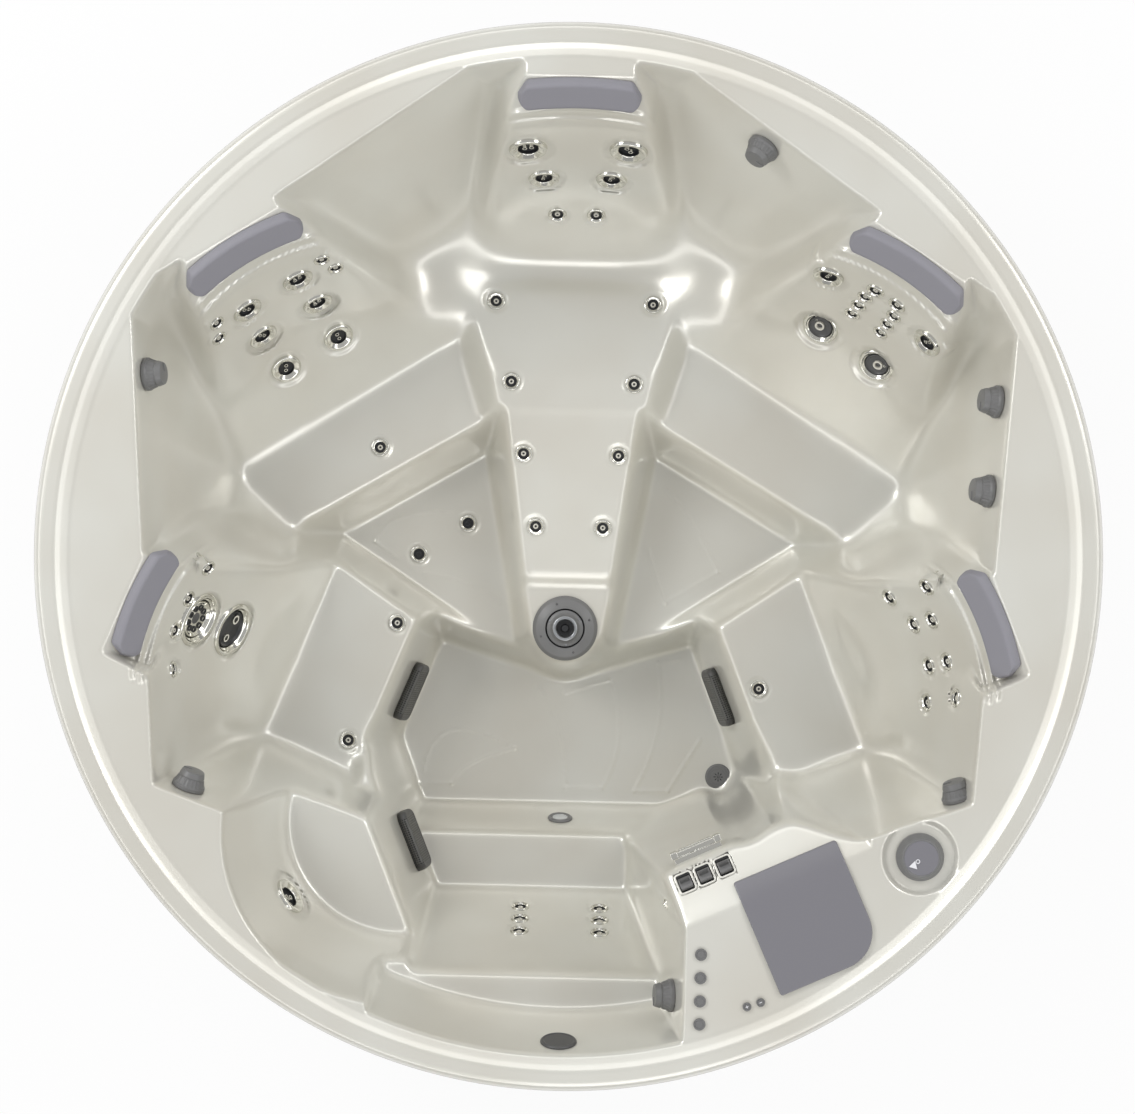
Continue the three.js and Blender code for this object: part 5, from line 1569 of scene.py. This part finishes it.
def grille_form():
    plate = rounded_plate(GRILLE_LENGTH, GRILLE_WIDTH, 0.24 * GRILLE_WIDTH, GRILLE_RISE)
    form = rounded_edges(plate, 0.008, 4)
    bmesh.ops.inset_region(form, faces=top_of(form), thickness=0.006, depth=0)
    bmesh.ops.inset_region(form, faces=top_of(form), thickness=0.0012, depth=-0.0012)
    bmesh.ops.inset_region(form, faces=top_of(form), thickness=0.0012, depth=0.0012)
    flat = form.loops.layers.uv.new("flat")
    for face in form.faces:
        for loop in face.loops:
            loop[flat].uv = (loop.vert.co.x / HOLE_PITCH, (loop.vert.co.y + loop.vert.co.z) / HOLE_PITCH)
    for face in form.faces:
        middle = face.calc_center_median()
        in_upper_side = face.normal.y > 0.4 and abs(middle.x) < 0.4 * GRILLE_LENGTH
        in_front = face.normal.z > 0.9 and len(face.verts) > 8
        if in_front or in_upper_side:
            face.material_index = 1
    return gather([form, peg(0.024 * RIM, -0.05 * RIM, 0.002)])


COVERS = [
    ("suction_cover_left", on_wall(158.2, 0.391, 0.1749, 0, 0.4)),
    ("suction_cover_right", on_wall(21.8, -0.3867, 0.1749, 0, 0.4)),
    ("suction_cover_entry", on_wall(202.3, 0.4304, 0.3279, 0.3, 0.7)),
]
for name, place in COVERS:
    cover = stand(grille_form(), place, lift=RISE)
    keep(name + "_dressed", cover, [dark_plastic, perforated], "tub", "dark_trim", name)
print("suction covers:", len(COVERS))

# %% [markdown]
# The drain, the step light, the rim's cap and a small sensor are discs with turned rings. The
# drain has short radial slots in its middle.

# %% Round trim
def disc_form(radius, shank, depth, profile):
    return turned([(0, -depth), (shank, -depth), (shank, RISE), (radius, RISE), *profile], 48, 0.0007)


drain_radius = 0.0276 * RIM
drain = disc_form(drain_radius, 0.018 * RIM, 0.03 * RIM, [
    (drain_radius, 0.003),
    (0.9 * drain_radius, 0.006),
    (0.78 * drain_radius, 0.0063),
    (0.76 * drain_radius, 0.0052),
    (0.73 * drain_radius, 0.0063),
    (0.6 * drain_radius, 0.0063),
    (0.58 * drain_radius, 0.0052),
    (0.55 * drain_radius, 0.0063),
    (0, 0.0063),
])
slots = []
for step in range(8):
    slot_form = rounded_plate(0.0062, 0.0022, 0.001, 0.0008, 3)
    aim = Matrix.Rotation(step * math.tau / 8, 4, "Z")
    slot_form.transform(aim @ Matrix.Translation((0.0085, 0, 0.0058)))
    paint(slot_form, 1, lambda r, z: True)
    slots.append(slot_form)
slots.append(ring(0, 0, 0.0058, 0.0068, 0.0035, 1))
keep(
    "drain_dressed", stand(gather([drain, *slots]), DRAIN_PLACE),
    [grey_plastic, black_plastic], "tub", "trim", "drain_cover",
)
lamp_radius = 0.0258 * RIM
lamp_form = disc_form(lamp_radius, 0.018 * RIM, 0.03 * RIM, [
    (lamp_radius, 0.003),
    (0.86 * lamp_radius, 0.0063),
    (0.62 * lamp_radius, 0.005),
    (0.6 * lamp_radius, 0.0035),
    (0.3 * lamp_radius, 0.0055),
    (0, 0.006),
])
paint(lamp_form, 1, lambda r, z: r < 0.61 * lamp_radius)
keep(
    "step_light_dressed", stand(lamp_form, on_wall(270, -0.0044, 0.1803, 0.3, 0.6)),
    [grey_plastic, lens_plastic], "tub", "lens", "step_light",
)
cap_radius = 0.0346 * RIM
cap_form = disc_form(cap_radius, 0.025 * RIM, 0.02 * RIM, [
    (cap_radius, 0.003),
    (0.92 * cap_radius, 0.0063),
    (0.84 * cap_radius, 0.0063),
    (0.8 * cap_radius, 0.005),
    (0, 0.0056),
])
keep(
    "rim_cap_dressed", stand(cap_form, on_wall(270, 0.0035, 0.9126, 0.8, 0.93)),
    [dark_plastic], "tub", "dark_trim", "rim_cap",
)
SENSOR_RADIUS = 0.0115 * RIM
sensor = disc_form(SENSOR_RADIUS, 0.5 * SENSOR_RADIUS, 0.02, [
    (SENSOR_RADIUS, 0.003),
    (0.8 * SENSOR_RADIUS, 0.006),
    (0.5 * SENSOR_RADIUS, 0.004),
    (0.4 * SENSOR_RADIUS, 0.009),
    (0, 0.01),
])
keep("sensor_dressed", stand(sensor, on_wall(0, -0.665, 0.78, 0.1, 0.35)), [chrome], "tub", "chrome")
print("round trim done")

# %% [markdown]
# A head pillow is moulded soft foam with a skin: a shallow crown whose ends run to a blunt point.
# A subdivided box is shaped by the crown's own formula. Nothing hangs or drapes here, so no
# cloth simulation is needed, and one level of subdivision rounds its edges.

# %% Pillows
PILLOW_DEPTH = 0.066 * RIM
PILLOW_THICK = 0.021 * RIM
PILLOW_EDGE = 0.009 * RIM
PILLOWS = [
    ("pillow_lounge", LOUNGE, 0.117 * RIM),
    ("pillow_left_seat", LEFT_SEAT, 0.125 * RIM),
    ("pillow_right_seat", RIGHT_SEAT, 0.125 * RIM),
    ("pillow_left_corner", LEFT_CORNER, 0.108 * RIM),
    ("pillow_right_corner", RIGHT_CORNER, 0.108 * RIM),
]


def pillow_form(s, half):
    form = bmesh.new()
    bmesh.ops.create_grid(form, x_segments=48, y_segments=14, size=1)
    thicken(form, 1)
    heading = math.radians(s["facing"])
    outward = Vector((math.cos(heading), math.sin(heading), 0))
    along = Vector((-math.sin(heading), math.cos(heading), 0))
    lean = math.radians(PILLOW_LEAN)
    rise = outward * math.sin(lean) + UP * math.cos(lean)
    out_of = UP * math.sin(lean) - outward * math.cos(lean)
    foot = outward * (s["neck"] + PILLOW_SET) + along * s["offset"] + UP * DECK
    foot -= rise * (0.0035 * RIM + PILLOW_DEPTH / 2)
    for vert in form.verts:
        side, up_share, top = vert.co
        reach = abs(side)
        taper = 1 - 0.85 * max(0, (reach - 0.86) / 0.14)
        edge = min((1 - reach) / 0.05, (1 - abs(up_share)) / 0.22, 1)
        crown = math.sin(max(0, edge) * math.pi / 2) ** 0.7
        dish = 0.88 + 0.12 * min(1, reach / 0.8)
        height = PILLOW_EDGE * 0.45 + (PILLOW_THICK - PILLOW_EDGE * 0.45) * crown * dish
        sag = (half * side) ** 2 / (2 * s["arc"])
        vert.co = (
            foot
            + along * (-half * side)
            + rise * (up_share * PILLOW_DEPTH / 2 * taper - sag)
            + out_of * (RISE + top * height)
        )
    return form


for name, s, half in PILLOWS:
    cushion = keep(name + "_dressed", pillow_form(s, half), [pillow_foam], "tub", "pillow", name)
    cushion.modifiers.remove(cushion.modifiers["even shading"])
    softening = cushion.modifiers.new("soften", "SUBSURF")
    softening.levels = 1
    softening.render_levels = 1
print("pillows:", len(PILLOWS))

# %% [markdown]
# The filter lid follows the island: flat on top, then down the slope over a rounded bend. One face
# is cut across at the bend, each cut takes its level from the island's own planes, and the sheet
# is then given its thickness and a rounded edge.

# %% Filter lid
LID_LEFT = 0.0446 * RIM
LID_RIGHT = 0.2537 * RIM
LID_FRONT = 0.685 * RIM
LID_BACK = 0.912 * RIM
LID_BEND = 0.03
LID_CORNER = 0.07 * RIM


def island_level(r):
    """The island's top along its own r, with the bend rounded over"""
    slope = math.tan(math.radians(90 - ISLAND_LEAN))
    past = (r - ISLAND_BEND) / LID_BEND
    smooth = LID_BEND * math.log1p(math.exp(-past * 3)) / 3 if past > -8 else -past * LID_BEND
    return DECK - slope * smooth


lid_form = bmesh.new()
corners = [(LID_LEFT, LID_FRONT), (LID_RIGHT, LID_FRONT), (LID_RIGHT, LID_BACK), (LID_LEFT, LID_BACK)]
lid_form.faces.new([lid_form.verts.new((u, -r, 0)) for u, r in reversed(corners)])
for vert in list(lid_form.verts):
    big = vert.co.x > LID_RIGHT - 0.01 and -vert.co.y > LID_BACK - 0.01
    bmesh.ops.bevel(
        lid_form, geom=[vert], offset=LID_CORNER if big else 0.006,
        segments=12 if big else 4, profile=0.5, affect="VERTICES", material=-1,
    )
for step in range(-6, 9):
    bmesh.ops.bisect_plane(
        lid_form, geom=lid_form.verts[:] + lid_form.edges[:] + lid_form.faces[:],
        plane_co=(0, -(ISLAND_BEND + step * 0.006), 0), plane_no=(0, 1, 0),
    )
for vert in lid_form.verts:
    vert.co.z = island_level(-vert.co.y) + RISE
thicken(lid_form, SHEET)
bmesh.ops.recalc_face_normals(lid_form, faces=lid_form.faces)
edge_faces = [f for f in lid_form.faces if abs(f.normal.z) < 0.3]
border = {e for f in edge_faces for e in f.edges if any(g not in edge_faces for g in e.link_faces)}
upper_border = [e for e in border if e.verts[0].co.z > island_level(-e.verts[0].co.y) + SHEET / 2]
round_off(lid_form, upper_border, 0.003)
lid_form.transform(ISLAND_FRAME)
LID_RING = 0.076 * RIM
ring_form = bmesh.new()
bmesh.ops.create_cone(
    ring_form, cap_ends=False, segments=48, radius1=LID_RING, radius2=LID_RING, depth=0.018
)
bmesh.ops.solidify(ring_form, geom=ring_form.faces, thickness=0.004)
ring_form.transform(Matrix.Translation((FILTER_SPOT.x, FILTER_SPOT.y, DECK - 0.004)))
keep("filter_lid_dressed", gather([lid_form, ring_form]), [lid_plastic], "filter_lid", "trim", "filter_lid")
print("lid level at the front", round(island_level(LID_FRONT), 3))

# %% [markdown]
# The waterfall's three levers are drums with a flat finger tab, set in windows with pale rounded
# frames.

# %% Waterfall levers
SLOPE_FACING = Vector(ISLAND_SLOPE[1]) * -1
if SLOPE_FACING.z < 0:
    SLOPE_FACING.negate()


def slope_place(u):
    spot = island_spot(u, LEVER_ROW)
    return place_at(spot.x, spot.y)[0], SLOPE_FACING


DRUM_RADIUS = 0.0138
FRAME_ROOM = 0.0055
window_forms = []
for index, u in enumerate(LEVER_SPOTS):
    drum = turned([
        (0, -DRUM_RADIUS),
        (DRUM_RADIUS, -DRUM_RADIUS),
        (DRUM_RADIUS, DRUM_RADIUS),
        (0, DRUM_RADIUS),
    ], 32, 0.0015)
    drum.transform(Matrix.Translation((0, 0, -SHEET / 2)) @ Matrix.Rotation(math.pi / 2, 4, "Y"))
    tab = boxed(0.0225, 0.0042, 0.03, (0, 0, 0.0105), 0.0014)
    paint(tab, 1, lambda r, z: True)
    name = "waterfall_lever_%d" % (index + 1)
    lever = stand(gather([drum, tab]), slope_place(u))
    keep(name + "_dressed", lever, [grey_plastic, dark_plastic], name, "dark_trim", name)
    frame_form = rounded_plate(WINDOW_WIDTH + FRAME_ROOM, WINDOW_LENGTH + FRAME_ROOM, 0.008, 0.0006)
    bottoms = [f for f in frame_form.faces if f.normal.z < -0.9]
    inner_faces = []
    for cap in (top_of(frame_form), bottoms):
        bmesh.ops.inset_region(frame_form, faces=cap, thickness=0.004, depth=0)
        inner_faces.append(cap[0])
    loops = [e for f in inner_faces for e in f.edges]
    bmesh.ops.delete(frame_form, geom=inner_faces, context="FACES_ONLY")
    bmesh.ops.bridge_loops(frame_form, edges=loops)
    window_forms.append(stand(frame_form, slope_place(u), lift=0.0004))
keep("lever_window_frames", gather(window_forms), [pearl], "tub", "acrylic")
print("levers:", len(LEVER_SPOTS))

# %% [markdown]
# The spout is a bar between two thicker ends, with its mouth in front. It hangs on the face of the
# island that looks at the middle of the tub.

# %% Spout
SPOUT_HALF = 0.0503 * RIM
SPOUT_OUT = 0.015 * RIM
SPOUT_RISE = 0.016 * RIM
spout_middle = island_spot(0.0066, 0.6)
heading = math.radians(ISLAND_FACING)
spout_along = (spout_middle.y * math.cos(heading) - spout_middle.x * math.sin(heading)) / RIM
spout_place = on_wall(ISLAND_FACING, spout_along, 0.874, 0.5, 0.66)
back_plate = boxed(SPOUT_HALF * 1.9, SPOUT_RISE * 1.1, 0.016, (0, 0, -0.006), 0.002)
bar = boxed(SPOUT_HALF * 2, SPOUT_RISE, SPOUT_OUT * 0.85, (0, 0, SPOUT_OUT * 0.42), 0.0035)
end_middles = [(side * SPOUT_HALF * 0.88, 0, SPOUT_OUT * 0.5) for side in BOTH]
ends = [boxed(SPOUT_HALF * 0.3, SPOUT_RISE * 1.25, SPOUT_OUT, middle, 0.003) for middle in end_middles]
mouth_middle = (0, SPOUT_RISE * 0.1, SPOUT_OUT * 0.8)
mouth = boxed(SPOUT_HALF * 1.3, SPOUT_RISE * 0.5, SPOUT_OUT * 0.5, mouth_middle, 0.002)
stub = peg(0.009 * RIM, -0.03 * RIM, 0.004)
spout_form = stand(gather([back_plate, bar, *ends, mouth, stub]), spout_place, lift=RISE)
keep("waterfall_spout_dressed", spout_form, [chrome], "tub", "chrome", "waterfall_spout")
print("spout at", tuple(round(v, 3) for v in spout_place[0]))

# %% [markdown]
# The push buttons have a raised ring and a dished middle, and stand clear of the deck by a little
# more than they are pressed. The two small ones carry a plus and a minus, which are the usual
# generic signs for more and less.

# %% Buttons
BUTTONS = [
    ("button_1", 0.266, -0.7384, 0.0114),
    ("button_2", 0.266, -0.7822, 0.0114),
    ("button_3", 0.266, -0.8259, 0.0114),
    ("button_4", 0.266, -0.8688, 0.0114),
    ("button_plus", 0.3543, -0.8338, 0.0083),
    ("button_minus", 0.3797, -0.825, 0.0083),
]
BUTTON_GAP = 0.0029
for name, across_share, up_share, radius_share in BUTTONS:
    radius = radius_share * RIM
    push = turned([
        (0, -0.022 * RIM),
        (0.5 * radius, -0.022 * RIM),
        (0.5 * radius, BUTTON_GAP),
        (radius, BUTTON_GAP),
        (radius, 0.0048),
        (0.9 * radius, 0.0064),
        (0.78 * radius, 0.0064),
        (0.72 * radius, 0.0048),
        (0.6 * radius, 0.0046),
        (0.55 * radius, 0.0054),
        (0, 0.0048),
    ], 40, 0.0006)
    signs = []
    if radius_share < 0.01:
        turns = (0, math.pi / 2) if name == "button_plus" else (0,)
        for turn_by in turns:
            bar = boxed(0.006, 0.0014, 0.0008, (0, 0, 0.0053), 0.0002)
            bar.transform(Matrix.Rotation(turn_by + ISLAND_TURN, 4, "Z"))
            paint(bar, 1, lambda r, z: True)
            signs.append(bar)
    button_place = (Vector((across_share * RIM, up_share * RIM, DECK)), UP)
    button = stand(gather([push, *signs]), button_place)
    keep(name + "_dressed", button, [grey_plastic, pointer_white], name, "trim", name)
print("buttons:", len(BUTTONS))

# %% [markdown]
# The diverter handle is a broad grey dial. A pale pointer with a small ring at its tip shows which
# seats get the water.

# %% Diverter handle
DIAL_BASE = 0.0451 * RIM
DIAL_TOP = 0.036 * RIM
DIAL_RISE = 0.026 * RIM
dial = turned([
    (0, -SHEET - 0.0203 * RIM),
    (0.012 * RIM, -SHEET - 0.0203 * RIM),
    (0.012 * RIM, RISE),
    (DIAL_BASE, RISE),
    (DIAL_BASE, 0.009 * RIM),
    (1.06 * DIAL_TOP, 0.8 * DIAL_RISE),
    (DIAL_TOP, DIAL_RISE),
    (0.9 * DIAL_TOP, DIAL_RISE * 1.02),
    (0.88 * DIAL_TOP, DIAL_RISE * 0.97),
    (0, DIAL_RISE),
], 64, 0.0016)
paint(dial, 1, lambda r, z: r < 0.89 * DIAL_TOP and z > 0.5 * DIAL_RISE)
arrow = bmesh.new()
bmesh.ops.create_circle(arrow, cap_ends=True, segments=3, radius=0.26 * DIAL_TOP)
arrow.transform(Matrix.Translation((-0.55 * DIAL_TOP, 0, DIAL_RISE)) @ Matrix.Rotation(math.pi, 4, "Z"))
thicken(arrow, 0.0012)
paint(arrow, 2, lambda r, z: True)
tip = ring(-0.25 * DIAL_TOP, 0, DIAL_RISE - 0.0002, DIAL_RISE + 0.0014, 0.12 * DIAL_TOP, 2)
dial_form = gather([dial, arrow, tip])
dial_form.transform(Matrix.Rotation(math.pi / 4, 4, "Z"))
dial_place = (Vector((TRAY_X, TRAY_Y, TRAY)), UP)
keep(
    "diverter_handle_dressed", stand(dial_form, dial_place),
    [grey_plastic, lid_plastic, pointer_white], "diverter_handle", "trim", "diverter_handle",
)
print("dial at", round(TRAY_X, 3), round(TRAY_Y, 3))

# %% [markdown]
# The pieces with nothing to add, such as the panels, the frame and the pumps, are shown as the CAD
# has them, each in the finish that its slot names.

# %% Finishes of the carried pieces
CARRIED = {
    "acrylic": pearl, "trim": grey_plastic, "pillow": pillow_foam, "dark_trim": dark_plastic,
    "chrome": chrome, "steel": steel, "cabinet": board, "frame": zinc, "plastic": black_plastic,
    "lens": lens_plastic, "paper": filter_cloth,
}
for part in frame["record"]["subparts"]:
    node = frame["nodes"][part["node"]]
    node.data.materials.clear()
    node.data.materials.append(CARRIED[part["material_slot"]])
print("carried pieces:", len(frame["nodes"]))
